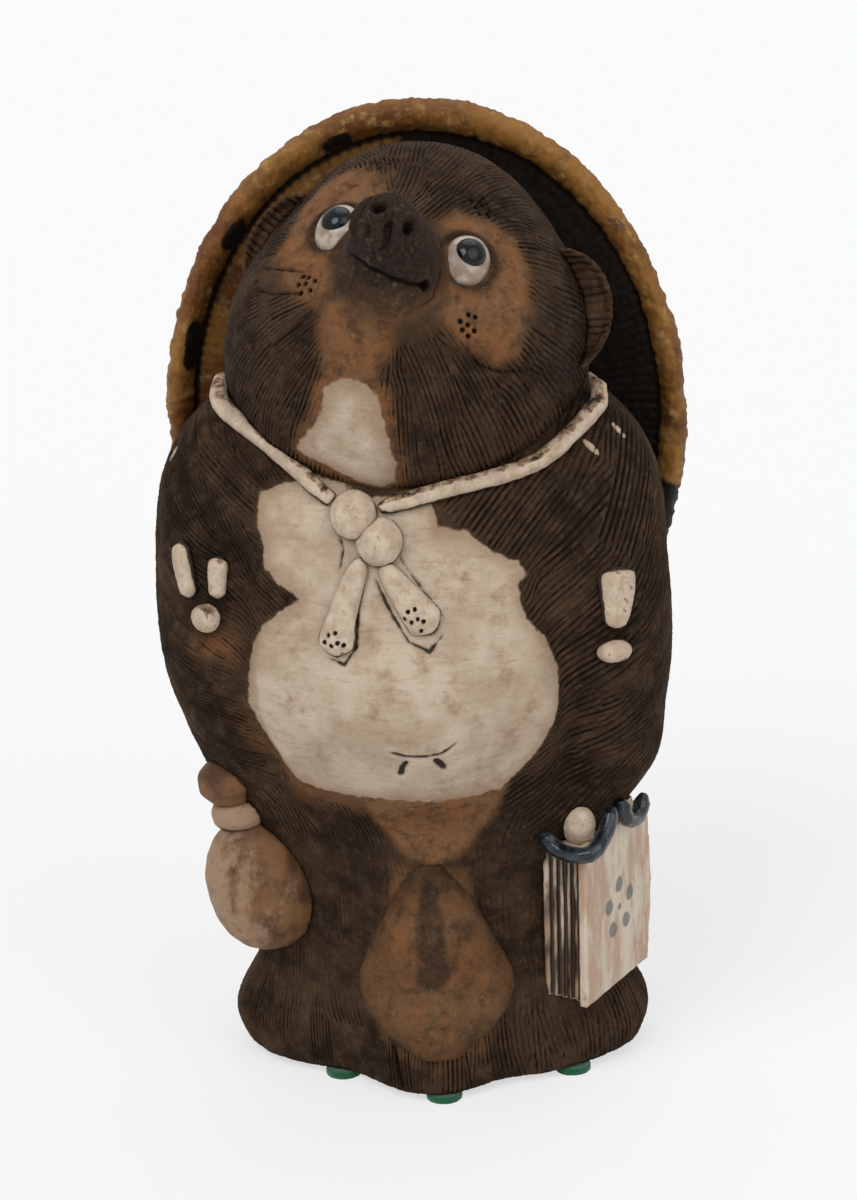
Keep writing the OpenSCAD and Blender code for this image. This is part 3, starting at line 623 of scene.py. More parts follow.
def hat_look():
    look = Look("hat_glaze", roughness=0.6, specular=0.25)
    wide = look.noise(20, 5, 0.6)
    spots = look.noise(5, 6, 0.7, offset=0.4)
    fine = look.noise(1.0, 4, 0.65)
    base = look.stain(colour(142, 98, 44), colour(102, 60, 24), wide, 0.38, 0.64)
    base = look.stain(base, colour(168, 132, 80), spots, 0.52, 0.68, 0, 0.8)
    base = look.stain(base, colour(70, 46, 40), look.noise(7, 6, 0.7, offset=1.3), 0.56, 0.68, 0, 0.8)
    base = look.stain(base, colour(180, 148, 100), fine, 0.58, 0.75, 0, 0.5)
    dark = look.ragged("dark", look.noise(9, 6, 0.7), 0.9)
    base = look.stain(base, colour(20, 13, 8), dark, 0.42, 0.6)
    # Painted shade: darker in the grooves, in the crease where the rim meets the dish, and in the hollows
    # of the rim's wrinkles.
    base = look.stain(base, colour(28, 17, 8), look.attribute("groove"), 0.1, 0.7)
    look.bump(spots, 0.3, 0.5)
    look.bump(fine, 0.25, 0.5)
    return look.finish(base, look.ramp(spots, 0.4, 0.7, 0.5, 0.72))


hat_glaze = hat_look()


def glaze_look(name, base, other, size, roughness, coat):
    look = Look(name, roughness=roughness, specular=0.35, coat=coat, coat_roughness=0.06)
    tone = look.stain(base, other, look.noise(size, 4, 0.6), 0.4, 0.65)
    tone = look.stain(tone, CREAM_WORN, look.attribute("wear_and_shade"), 0.3, 0.9)
    look.bump(look.noise(size * 0.6, 3, 0.5, offset=0.5), 0.12, 0.35)
    return look.finish(tone)


eye_white = glaze_look("eye_white", colour(146, 126, 108), colour(186, 170, 154), 4, 0.45, 0.25)
eye_black = glaze_look("eye_black", colour(5, 6, 8), colour(14, 19, 23), 3, 0.15, 0.08)
cord_glaze = glaze_look("cord_glaze", colour(16, 22, 27), colour(46, 55, 60), 4, 0.25, 0.4)


def warm_look(name, light, middle, dark, patch):
    """Burnished warm clay of the flask, with a wash that its cream attribute holds."""
    look = Look(name, roughness=0.6, specular=0.3)
    fine = look.noise(0.9, 4, 0.65)
    wide = look.noise(13, 4, 0.6)
    base = look.stain(middle, dark, wide, 0.38, 0.64)
    swirl = look.noise(6, 6, 0.7, stretch=(1, 1, 0.6), offset=0.6)
    wash = look.ragged("cream", swirl, 1.2)
    base = look.stain(base, light, wash, 0.38, 0.78, 0, 0.95)
    smear = look.math("MULTIPLY", look.ramp(swirl, 0.5, 0.7), look.ramp(wash, 0.5, 0.8))
    base = look.mix(smear, base, patch)
    base = look.stain(base, DARK_FUR, look.attribute("dark"), 0.2, 0.9)
    base = look.stain(base, dark, fine, 0.6, 0.8, 0, 0.35)
    base = look.stain(base, GROOVE, look.attribute("groove"), 0.15, 0.7)
    look.bump(swirl, 0.25, 0.3)
    look.bump(fine, 0.15, 0.4)
    return look.finish(base, look.ramp(fine, 0.3, 0.7, 0.52, 0.7))


flask_clay = warm_look(
    "flask_clay", colour(160, 132, 106), colour(122, 86, 54), colour(78, 52, 32), colour(128, 98, 74))


def ledger_look():
    look = Look("ledger_slip", roughness=0.42, specular=0.4, coat=0.25, coat_roughness=0.25)
    streaks = look.noise(7, 5, 0.65, stretch=(1, 1, 0.25))
    fine = look.noise(0.9, 4, 0.6)
    base = look.stain(colour(206, 190, 170), colour(178, 146, 118), streaks, 0.4, 0.62)
    rubs = look.noise(3, 6, 0.7, stretch=(1, 1, 0.3), offset=0.4)
    base = look.stain(base, colour(150, 112, 84), rubs, 0.56, 0.7, 0, 0.7)
    base = look.stain(base, colour(58, 40, 24), look.attribute("dark"), 0.25, 0.75)
    base = look.stain(base, colour(70, 80, 84), look.attribute("ink"), 0.4, 0.6, 0, 0.8)
    base = look.stain(base, colour(110, 84, 62), fine, 0.62, 0.8, 0, 0.3)
    look.bump(fine, 0.12, 0.4)
    return look.finish(base)


ledger_slip = ledger_look()


def felt_look():
    look = Look("felt", roughness=0.95, specular=0.1)
    fibres = look.noise(0.5, 5, 0.8)
    base = look.stain(colour(10, 70, 44), colour(24, 110, 70), fibres, 0.35, 0.65)
    look.shader.inputs["Sheen Weight"].default_value = 0.4
    look.bump(fibres, 0.4, 0.8)
    return look.finish(base)


felt = felt_look()


# Body: one skin over both half shells, outside up from the rim and inside down again

BELLY_PAINT = [
    (220.3, 194), (226, 196.5), (231.7, 198.5), (245, 197), (256, 193), (275, 195), (281, 192),
    (283, 186), (293, 184), (299, 178), (306, 175), (308, 171), (305, 168), (304.8, 163.7), (306, 158),
    (311.9, 150.2), (313, 146), (315, 141), (314.6, 133.8), (313, 126), (310.1, 118.5), (305, 110),
    (298.3, 102.4), (283, 101), (267.4, 99.9), (249.6, 98.5), (238, 98.5), (228.4, 100.7), (222, 108),
    (218.6, 116), (218, 127), (220.2, 136.8), (223.5, 147), (227.9, 156.1), (234, 162), (238.6, 164.9),
    (236, 167), (231.7, 168.5), (227, 173), (225, 180.7), (222, 187),
]
BELLY_TIP = [
    (250, 104), (253, 92), (260, 82.5), (267, 78), (274, 76.5), (282, 77.5), (290, 82), (297, 90),
    (301, 104),
]
LAP = [
    (256, 76), (271, 79), (288, 75), (291, 62), (299, 46), (302, 28), (290, 14), (272, 12), (252, 15),
    (241, 28), (243, 46), (252, 62),
]
# Width, depth and places of lines cut with a needle: navel, thighs, round the knot's tails, toes
TRUNK_LINES = [
    (1.3, 1.2, (264.2, 120.6), (268, 119.2), (273.6, 118.8), (278.5, 119.6), (282.6, 123)),
    (2.0, 1.7, (268.2, 117.2), (266.8, 114.5), (265.8, 111.8)),
    (2.0, 1.7, (276.4, 117.6), (278, 115.4), (279, 113.4)),
    (0.8, 0.6, (254.1, 78.1), (255, 73), (253.2, 62), (247, 50), (245.2, 43)),
    (0.8, 0.6, (290.5, 77), (290, 72), (292.5, 62.4), (297, 51), (302, 40), (304, 30)),
    (1.2, 1.1, (256.4, 177), (256, 165), (255.8, 153), (252.5, 147.5), (248, 149)),
    (1.2, 1.1, (261, 172), (266, 163), (271.2, 154.5), (277, 151.6), (281.4, 156)),
    (1.0, 0.9, (268.5, 178), (275, 170), (281.6, 161)),
    (1.0, 0.9, (247, 186), (250, 180), (249.5, 174)),
    (1.3, 1.6, (253.4, 17), (254.6, 11), (256.5, 2.2)),
    (0.8, 0.8, (310.2, 10), (311, 6), (310.6, 2.2)),
]
# Angle and height of a tan spot on the right arm
ARM_SPOT = (214.9, 146.8)
# Angle and height of dabs of slip on the shoulders
DABS = [(349, 204), (338, 202), (187, 197)]
# Depth at which a comb groove is fully dark, with iron wash and painted shade
DEEPEST = 0.7
MM_PER_DEGREE = 1.2


def from_front(a):
    """Angle from straight ahead, positive to the figure's left."""
    return (np.asarray(a, float) - 270 + 180) % 360 - 180


def fur_lean(a, z):
    """Lean of the combed fur from upright, in degrees, positive towards growing angle."""
    side = np.tanh(from_front(a) / 12)
    fade = 1 - step(100, 150, np.abs(from_front(a)))
    return side * fade * (60 * step(HIP_Z + 16, CUFF_Z + 8, z) - 8 * step(BELLY_Z, CHEST_Z, z))


def trunk_tangents(a, z):
    """Unit directions round the trunk and up it, and its outward normal."""
    p = trunk_point(a, z)
    round_ = unit(trunk_point(a + 0.5, z) - p)
    above = np.minimum(z + 0.5, NECK_Z)
    up = unit(trunk_point(a, above) - trunk_point(a, above - 0.5))
    return p, round_, up, unit(np.cross(round_, up))


def trunk_strokes(count):
    strokes = []
    for _ in range(count):
        a = rng.uniform(0, 360)
        z = rng.uniform(RIM_Z + 1, NECK_Z - 4)
        p, round_, up, out = trunk_tangents(a, z)
        lean = math.radians(fur_lean(a, z) + rng.normal(0, 5))
        low = step(FOOT_Z + 14, FOOT_Z, z)
        high = step(CHEST_Z - 14, SHOULDER_Z - 14, z)
        strokes.append({
            "at": p, "normal": out,
            "along": unit(math.cos(lean) * up + math.sin(lean) * round_),
            "length": rng.uniform(16, 30) + 20 * high,
            "bend": rng.normal(0, 0.8),
            "teeth": int(rng.integers(5, 10)),
            "pitch": 1.65 + 0.3 * np.tanh(from_front(a) / 30) - 0.3 * low + rng.normal(0, 0.12),
            "depth": rng.uniform(0.42, 0.78) + 0.1 * high,
        })
    return strokes


def paint_distance(a, z, outline):
    """Distance inside an outline that is given by angle and height, in millimetres."""
    outline = [(from_front(x) * MM_PER_DEGREE, y) for x, y in outline]
    return inside_outline(from_front(a) * MM_PER_DEGREE, np.asarray(z, float), outline)


# Rows of the outside and of the inside, and columns in front and behind
BODY_GRID, BODY_GRID_QUICK = (520, 30, 780, 300), (300, 24, 460, 240)
BODY_STROKES, BODY_STROKES_QUICK = 820, 260


def make_body():
    rows, inner, front, behind = BODY_GRID
    angles = np.concatenate([
        np.linspace(175, 365, front, endpoint=False), np.linspace(5, 175, behind, endpoint=False)])
    heights = np.linspace(RIM_Z, NECK_Z, rows)
    a, z = np.meshgrid(angles, heights)
    edge = 1.6 * np.clip(1 - (z - RIM_Z) / 2.5, 0, 1) ** 2
    outer = trunk_point(a, z, -0.12 - edge)
    up = heights + WALL * np.clip((heights - BELLY_Z) / (SHOULDER_Z - BELLY_Z), 0, 1)
    down = np.linspace(NECK_Z, RIM_Z, inner)
    r_in = trunk_r(angles[None, :], np.minimum(NECK_Z, np.interp(down, heights, up))[:, None]) - WALL
    inside = np.stack([
        axis_x(down)[:, None] + r_in * np.cos(np.radians(angles)),
        SEAM_Y + r_in * np.sin(np.radians(angles)),
        down[:, None] + 0 * r_in], -1)
    grid = np.concatenate([outer, inside])
    normals = grid_normals(grid, True)
    points, out = grid[:rows].reshape(-1, 3), normals[:rows].reshape(-1, 3)
    fa, fz = a.ravel(), z.ravel()

    groove = comb(points, out, trunk_strokes(BODY_STROKES))
    belly = paint_distance(fa, fz, BELLY_PAINT)
    tip = paint_distance(fa, fz, BELLY_TIP)
    smooth = np.maximum(step(-2.5, 1.0, belly), step(-4, 2, tip))
    throat = step(CHEST_Z + 14, CHEST_Z + 22, fz) * step(34, 24, np.abs(from_front(fa) + 14))
    legs = step(HIP_Z + 26, HIP_Z + 14, fz) * step(FOOT_Z + 4, ANKLE_Z, fz)
    legs = legs * step(75, 50, np.abs(from_front(fa)))
    groove *= (1 - smooth) * (1 - throat) * (1 - 0.65 * legs)
    rough = 0.35 * cloud(points, 9, 3) + 0.2 * cloud(points, 2.4, 4) + 0.12 * noise(points, 0.8, 7)
    rough *= 1 - 0.6 * step(0, 6, belly)
    rough += 0.45 * cloud(points, 7, 8) * step(0, 4, belly) * step(CHEST_Z, CHEST_Z + 8, fz)
    wipes = 0.05 * noise(points * np.array([0.12, 0.12, 1.0]), 1.3, 9) * step(0, 3, belly)

    marks = cut_lines(points, trunk_point, TRUNK_LINES)
    points = points - out * (groove + marks)[:, None] + out * (rough - 0.2 + wipes)[:, None]
    points[:, 2] = np.maximum(points[:, 2], RIM_Z)

    from_spot = np.hypot((fa - ARM_SPOT[0]) * MM_PER_DEGREE, fz - ARM_SPOT[1])
    tan = np.maximum(step(-3, 3, tip), 0.7 * hill(from_spot, 5))
    lower_left = step(BELLY_Z + 10, CUFF_Z + 10, fz) * step(20, -30, from_front(fa))
    tan = np.maximum(tan, 0.6 * step(-7, 0, belly) * lower_left)
    tan = np.maximum(tan, 0.6 * step(-4, 5, paint_distance(fa, fz, LAP)))
    # Painted shade: darker at each side of the belly's tip, over the thighs, kept in the same attribute as
    # the head's soot.
    soot_and_shade = 0.6 * hill(np.abs(np.abs(from_front(fa) - 6) - 34), 9) * hill(fz - 84, 13)
    # Darkness in the cut lines: iron wash and painted shade.
    mark = np.clip(marks / 0.9 - 0.15, 0, 1)
    belly -= 4 * lower_left * step(14, 2, belly) * step(-8, -2, belly)
    belly = np.maximum(belly, 7 - 6 * np.min(
        [np.hypot((fa - at[0]) * MM_PER_DEGREE, (fz - at[1]) * 0.5) for at in DABS], axis=0))
    total = len(grid.reshape(-1, 3))

    def whole(values):
        """Values of the outside, with none on the inside."""
        return np.concatenate([values, np.zeros(total - len(values))])

    skin = np.concatenate([points, grid[rows:].reshape(-1, 3)])
    # How dark each groove shows, with iron wash and painted shade.
    depth = np.clip(groove / DEEPEST, 0, 1)
    add_mesh(
        "body_skin", skin, ring_faces(rows + inner, len(angles), True), clay,
        ["body_front", "body_back"],
        {"groove": whole(depth), "tan": whole(tan), "soot_and_shade": whole(soot_and_shade), "mark": whole(mark),
         "cream": whole(np.clip(belly + PAINT_EDGE, 0, 2 * PAINT_EDGE))})


make_body()


# Head: one ball about the looking direction

EYE_PATCH_RIGHT = [
    (-28, 32), (-15, 27), (-12, 18), (-16, 13), (-12, 0), (-7.6, -13.7), (-15.7, -19.2), (-20.7, -24.2),
    (-26.9, -22.5), (-33.2, -19), (-43, -9.2), (-42.3, -1.5), (-44.9, 13.7), (-46, 28),
]
MUZZLE_PATCH = [
    (-17.7, -22.3), (-9.5, -19), (2.6, -18), (9.7, -16), (15, -11.9), (17.6, -13.9), (12, -20.8),
    (6.6, -25.7), (8.2, -33.9), (5.5, -38.1), (6.5, -50), (-15.2, -53), (-16.3, -41.6), (-18.6, -30.8),
]
EYE_PATCH_LEFT = [
    (14.9, 18.3), (24.8, 19.7), (36.5, 17.7), (42.1, 9.1), (45.9, -3.6), (48, -17), (42.8, -23.6),
    (27.9, -22.3), (19.7, -18.7), (18.3, -10), (12.1, -3.7), (10.2, 12.3),
]
THROAT_PAINT = [
    (-19, -56), (-17, -50), (-12, -46.5), (-5, -45), (2, -45.5), (9, -48), (14, -54), (22, -60),
    (36, -66), (51, -72), (51, -77), (13, -80), (-27, -76), (-44, -72), (-52, -68), (-38, -65), (-26, -61),
]
# Width, depth and places of lines cut with a needle: whiskers, cheeks, mouth, snout, brow
MOUTH_END = (12.4, -13.2)
HEAD_LINES = [
    (1.0, 1.0, (-47.9, -10.7), (-38, -12.5), (-28.2, -14)),
    (1.0, 1.0, (-48.7, -17.6), (-40, -20.5), (-27.7, -21)),
    (0.9, 0.9, (-22, -26), (-29, -32), (-38, -36), (-42.5, -36.5)),
    (0.9, 0.9, (31, -22), (33.5, -25), (38, -26.5), (45, -25.2), (57, -18.3)),
    (1.6, 1.8, (-9, -12), (-6, -13.6), (-2, -15.6), (4, -16), (8.5, -15), MOUTH_END),
    (1.2, 0.9, (11.3, 7), (13.4, 0), (15.4, -8), (15.8, -15), (12, -20)),
    (0.9, 0.7, (-28, 22), (-24, 21), (-21.5, 21.5)),
]
# Turn, rise, count, spread and seed of each flower of punched dots, over the eyes and on the cheeks
HEAD_DOTS = [
    (-22.2, 34.6, 9, 4.0, 1), (22.2, 25.8, 9, 3.8, 2), (29, -17.5, 7, 3.6, 3), (-26.8, -17.8, 7, 3.4, 4),
]
# Mean distance from the head's middle to its skin
HEAD_REACH = 60.0


def face_outline_distance(d, outline):
    """Distance inside an outline on the head that is given by turn and rise, in millimetres."""
    middle = unit(face_dir(*np.array(outline, float).T).mean(0))
    side = unit(np.cross([0, 0, 1], middle))
    up = np.cross(middle, side)
    flat = [(v @ side * HEAD_REACH, v @ up * HEAD_REACH) for v in face_dir(*np.array(outline, float).T)]
    value = inside_outline(d @ side * HEAD_REACH, d @ up * HEAD_REACH, flat)
    return np.where(d @ middle > 0, value, -HEAD_REACH)


def snout_point(turn, rise, reach):
    """Place at a given distance from the head's middle."""
    return HEAD_PLACE + FACE @ (face_dir(turn, rise) * reach)


def dots_on_head(turn, rise, count, spread, seed):
    """Places of dots punched in a loose flower about a place on the head."""
    pick = np.random.default_rng(seed)
    places = [head_point(turn, rise)]
    for k in range(count - 1):
        angle = 2 * math.pi * k / (count - 1) + pick.uniform(-0.3, 0.3)
        reach = spread * pick.uniform(0.55, 1.25)
        places.append(head_point(turn + reach * math.cos(angle) * 1.1, rise + reach * math.sin(angle)))
    return places


def head_strokes(count):
    """Fur that spreads from the root of the snout."""
    snout = face_dir(*SNOUT)
    strokes = []
    while len(strokes) < count:
        d = unit(rng.normal(size=3))
        if d[1] > 0.75 or head_angle(d, *SNOUT) < 17:
            continue
        p = HEAD_PLACE + FACE @ (d * head_r(d))
        away = d - (d @ snout) * snout
        nudge = unit(d + 0.01 * unit(away - (away @ d) * d))
        along = unit(HEAD_PLACE + FACE @ (nudge * head_r(nudge)) - p)
        side = unit(np.cross(FACE @ d, along))
        turn = rng.normal(0, 0.09)
        under = step(-0.45, -0.7, d[2])
        strokes.append({
            "at": p, "normal": np.cross(along, side),
            "along": math.cos(turn) * along + math.sin(turn) * side,
            "length": rng.uniform(14, 26) + 14 * under,
            "bend": rng.normal(0, 0.6),
            "teeth": int(rng.integers(5, 10)),
            "pitch": 1.4 + 0.5 * step(0.55, 0.8, d[0]) + rng.normal(0, 0.1),
            "depth": rng.uniform(0.42, 0.75),
        })
    return strokes


HEAD_GRID, HEAD_GRID_QUICK = (420, 960), (220, 520)
HEAD_STROKES, HEAD_STROKES_QUICK = 440, 130


def make_head():
    rings, sides = HEAD_GRID
    share = np.linspace(0, 1, rings)
    d = ball(np.radians(0.4 + 179.2 * (0.74 * share + 0.26 * share**3)), sides)
    grid = HEAD_PLACE + (d * (head_r(d) - 0.1)[..., None]) @ FACE.T
    out = grid_normals(grid).reshape(-1, 3)
    if (out[sides * rings // 2] @ (grid[rings // 2, 0] - HEAD_PLACE)) < 0:
        out = -out
    points, d = grid.reshape(-1, 3), d.reshape(-1, 3)

    groove = comb(points, out, head_strokes(HEAD_STROKES))
    patches = [face_outline_distance(d, o) for o in (EYE_PATCH_RIGHT, MUZZLE_PATCH, EYE_PATCH_LEFT)]
    throat = face_outline_distance(d, THROAT_PAINT)
    from_snout = head_angle(d, *SNOUT)
    muzzle = step(25, 19, head_angle(d, 1, -10))
    smooth = muzzle
    for patch in patches:
        smooth = np.maximum(smooth, step(-2, 1, patch))
    smooth = np.maximum(smooth, step(-3, 0, throat))
    eyes = [head_angle(d, side * EYE_TURN, EYE_RISE) for side in (-1, 1)]
    smooth = np.maximum(smooth, np.maximum(step(13, 10, eyes[0]), step(13, 10, eyes[1])))
    groove *= 1 - smooth
    rough = 0.3 * cloud(points, 8, 13) + 0.16 * cloud(points, 2.2, 14) + 0.08 * noise(points, 0.8, 15)
    lids = sum(0.9 * hill(e - 10.2, 1.6) - 0.5 * hill(e - 8.2, 1.0) for e in eyes)

    marks = cut_lines(points, head_point, HEAD_LINES)
    dots = [dot for flower in HEAD_DOTS for dot in dots_on_head(*flower)]
    holes = punch(points, dots, 0.85, 1.5)
    holes = np.maximum(holes, punch(points, [head_point(*MOUTH_END)], 1.9, 3.0))
    points = points - out * (groove + marks + holes)[:, None] + out * (rough - 0.25 + lids)[:, None]

    tan = np.zeros(len(points))
    for patch in patches:
        tan = np.maximum(tan, 0.95 * step(-4.5, 4, patch))
    tan = np.maximum(tan, 0.75 * step(-6, -2, throat) * step(0.4, 0.2, np.abs(d[:, 0])))
    ring = sum(hill(e - 9.3, 1.5) for e in eyes)
    under = hill(head_angle(d, -2, -21), 7) + hill(head_angle(d, 10, -17), 5)
    soot_and_shade = np.clip(0.75 * ring + 0.7 * under + muzzle * step(-13, -9, -from_snout), 0, 1)
    # Darkness in the cut lines and punched holes: iron wash and painted shade.
    mark = np.clip(marks / 1.1 + holes - 0.15, 0, 1)
    soot_and_shade = np.maximum(soot_and_shade, 0.8 * step(21, 15, from_snout))
    tan = tan * (1 - 0.6 * np.clip(ring, 0, 1))
    add_mesh(
        "head_skin", points, capped(rings, sides), clay, ["head"],
        {"groove": np.clip(groove / DEEPEST, 0, 1), "tan": tan, "soot_and_shade": soot_and_shade, "mark": mark,
         "cream": np.clip(throat + PAINT_EDGE, 0, 2 * PAINT_EDGE)})


make_head()


# Hat

# Share of the hat's radius and distance behind its face, up the back to the rim and down the front
HAT_PROFILE = np.array([
    (0.0, HAT_DEPTH + HAT_T), (0.3, HAT_DEPTH * 0.8 + HAT_T), (0.6, HAT_DEPTH * 0.45 + HAT_T),
    (0.88, HAT_DEPTH * 0.1 + HAT_T), (0.955, RIM_R * 1.25), (0.985, RIM_R), (1, RIM_R * 0.45),
    (1, -RIM_R * 0.1), (0.988, -RIM_R * 0.65), (0.965, -RIM_R), (0.935, -RIM_R),
    (0.905, -RIM_R * 0.75), (0.884, -RIM_R * 0.3), (0.872, HAT_DEPTH * 0.11), (0.7, HAT_DEPTH * 0.36),
    (0.35, HAT_DEPTH * 0.72), (0.0, HAT_DEPTH),
])
HAT_MEAN_R = 90
HAT_SIDES, HAT_SIDES_QUICK = 760, 480
HAT_RINGS, RIM_RING = 220, 110
# Share of the radius at which the rolled rim meets the dish
RIM_FOOT = 0.868
# Place round the rim, spread and amount of each scorched spot
SCORCHES = [(105, 4, 0.8), (134, 5, 0.8), (161, 9, 0.75), (64, 3, 0.55)]


def make_hat():
    sides = HAT_SIDES
    across, behind = HAT_PROFILE.T
    lengths = np.concatenate([[0], np.cumsum(np.hypot(np.diff(across) * HAT_MEAN_R, np.diff(behind)))])
    even = np.linspace(0, lengths[-1], HAT_RINGS)
    share = np.maximum(0.004, np.interp(even, lengths, across))
    behind = np.interp(even, lengths, behind)
    for _ in range(3):
        share[1:-1] = (share[:-2] + 2 * share[1:-1] + share[2:]) / 4
        behind[1:-1] = (behind[:-2] + 2 * behind[1:-1] + behind[2:]) / 4
    a = np.linspace(0, 2 * math.pi, sides, endpoint=False)[None, :]
    s, b = share[:, None], behind[:, None]
    local = np.stack([HAT_W / 2 * s * np.cos(a), b + 0 * a, HAT_H / 2 * s * np.sin(a)], -1)
    grid = HAT_PLACE + local @ HAT.T
    out = grid_normals(grid).reshape(-1, 3)
    if (out.reshape(HAT_RINGS, sides, 3)[RIM_RING, 0] @ (HAT @ np.array([1.0, 0, 0]))) < 0:
        out = -out
    points = grid.reshape(-1, 3)
    flat = local.reshape(-1, 3)
    radius = np.repeat(share, sides)
    round_ = np.degrees(np.arctan2(flat[:, 2], flat[:, 0]))
    on_rim = step(0.865, 0.885, radius)
    front = np.repeat(np.arange(HAT_RINGS) > RIM_RING, sides)
    wrinkle = noise(np.stack([round_ * 1.5, radius * 40, 0 * radius], -1), 2.6, 21)
    wrinkle += 0.6 * noise(np.stack([round_ * 1.5, radius * 60, 0 * radius], -1), 1.1, 22)
    grain = 0.25 * cloud(points, 6, 23) + 0.25 * noise(points, 1.1, 24)
    lumps = 0.8 * noise(np.stack([round_ * 1.5, 0 * radius, 0 * radius], -1), 17, 25) * on_rim
    rays = 0.5 + 0.5 * np.cos(np.radians(round_) * 150 + 3 * noise(points, 18, 26))
    rings = 0.5 + 0.5 * np.cos(radius * 190 + 2.5 * noise(points, 22, 27))
    groove = (rays**2) * (1 - on_rim) * step(0.35, 0.55, radius) * 0.3 * front
    groove = groove + 0.22 * rings**3 * (1 - front) * step(0.05, 0.12, radius)
    step_in = 0.8 * hill(radius - RIM_FOOT, 0.006) * front
    points = points + out * (0.5 * wrinkle * on_rim + grain + lumps - 0.9 - groove - step_in)[:, None]
    its_left = step(10, 25, round_) * step(100, 75, round_)
    its_left = its_left + step(-60, -30, round_) * step(30, 15, round_)
    dark = 1.3 * front * (1 - on_rim) * its_left
    inner = on_rim * step(0.965, 0.91, radius) * front
    for place, spread, amount in SCORCHES:
        dark = dark + amount * hill(turn_between(round_, place), spread) * inner
    ends = 0.75 * hill(turn_between(round_, 193), 12) + 0.75 * hill(turn_between(round_, -24), 9)
    dark = dark + ends * step(0.84, 0.9, radius)
    dark = dark + 0.3 * (1 - on_rim)
    shade = groove / 0.7 + hill(radius - RIM_FOOT, 0.009) * front - 0.3 * wrinkle * on_rim - 0.12
    add_mesh(
        "hat_skin", points, capped(HAT_RINGS, sides), hat_glaze, ["hat"],
        {"groove": np.clip(shade, 0, 1) * 0.8, "dark": np.clip(dark, 0, 1)})


make_hat()


# Small pieces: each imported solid's own shape, its edges rounded as by wet fingers


def read_vectors(items, name):
    flat = np.empty(len(items) * 3, np.float32)
    items.foreach_get(name, flat)
    return flat.reshape(-1, 3).astype(float)


def soften(node, material, marks=None, voxel=0.45, rounds=5, swell=0.2, fit=(1, 1, 1)):
    """Rounded copy of a node; marks(points, normals) gives what to take off, and its attributes."""
    piece = linked(node + "_skin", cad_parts[node].data.copy())
    remesh = piece.modifiers.new("remesh", "REMESH")
    remesh.mode = "VOXEL"
    remesh.voxel_size = voxel * MM
    smooth = piece.modifiers.new("smooth", "SMOOTH")
    smooth.factor = 0.5
    smooth.iterations = rounds
    graph = bpy.context.evaluated_depsgraph_get()
    shape = bpy.data.meshes.new_from_object(piece.evaluated_get(graph))
    piece.modifiers.clear()
    piece.data = shape
    points = read_vectors(shape.vertices, "co") / MM
    normals = read_vectors(shape.vertex_normals, "vector")
    off, attributes = marks(points, normals) if marks else (0.0, {})
    lift = swell - off + 0.1 * cloud(points, 3.5, 31)
    moved = points + normals * np.broadcast_to(lift, len(points))[:, None]
    middle = (moved.max(0) + moved.min(0)) / 2
    moved = middle + (moved - middle) * fit
    shape.vertices.foreach_set("co", (moved * MM).astype(np.float32).ravel())
    dress(piece, material, [node], attributes)


def worn(seat_shade=0.9, base=0.15, upper=0.0):
    """Slip worn off here and there and along its upper edge, and painted shade near the seat of a piece on
    the trunk.
    """
    def marks(points, normals):
        _, _, lift = trunk_place(points)
        # Painted shade near the seat, where the piece meets the trunk's skin, in both attributes; wear here
        # and there and along the upper edge.
        wear_and_shade = base + seat_shade * step(2.4, 0.4, lift) + upper * step(0.3, 0.9, normals[:, 2])
        dents = 0.25 * cloud(points, 4.5, 32) + 0.12 * cloud(points, 1.3, 33)
        return dents, {"wear_and_shade": wear_and_shade, "groove": step(0.9, 0.1, lift)}
    return marks


# Way round and up from the middle of the flared end to each punched dot, in millimetres
DOTS = [
    (-2.6, 0.4), (0, -0.8), (2.4, 0.2), (-3, 3.4), (-0.7, 2.6), (1.4, 3.6), (3.3, 3), (-1.8, 5.6),
    (0.6, 6.4),
]


def tail_marks(a_end, z_end):
    def marks(points, normals):
        a, z, lift = trunk_place(points)
        holes = np.zeros(len(points))
        for da, dz in DOTS:
            away = np.hypot((a - a_end) * MM_PER_DEGREE - da, z - z_end - dz)
            holes = np.maximum(holes, step(0.85, 0.45, away) * step(1.0, 2.0, lift))
        # Painted shade near the seat, where the tail meets the trunk's skin; the punched holes show the
        # dark clay, with iron wash and painted shade in them.
        wear_and_shade = 0.12 + 0.8 * step(1.8, 0.3, lift) + holes
        groove = np.clip(holes + step(0.8, 0.1, lift), 0, 1)
        return holes + 0.2 * cloud(points, 4, 34), {"wear_and_shade": wear_and_shade, "groove": groove}
    return marks


KNOT_FIT = (0.88, 1, 0.92)
for lobe in ("knot_upper", "knot_lower"):
    soften(lobe, cream, worn(0.9, 0.12, 0.1), rounds=12, swell=0.3, fit=KNOT_FIT)
soften("hat_cord_right", cream, worn(0.8, 0.28, 0.25), rounds=8)
soften("hat_cord_left", cream, worn(0.8, 0.25, 0.35), rounds=8)
soften("cord_tail_right", cream, tail_marks(250.5, 151), rounds=16, swell=0.5)
soften("cord_tail_left", cream, tail_marks(273, 158), rounds=16, swell=0.5)
for claw in ("right_paw_claws", "right_paw_thumb", "left_paw_claws", "left_paw_thumb"):
    soften(claw, cream, worn(1.0, 0.36, 0.15), rounds=12, swell=0.3)


NOSE_FIT = (0.92, 1, 1)
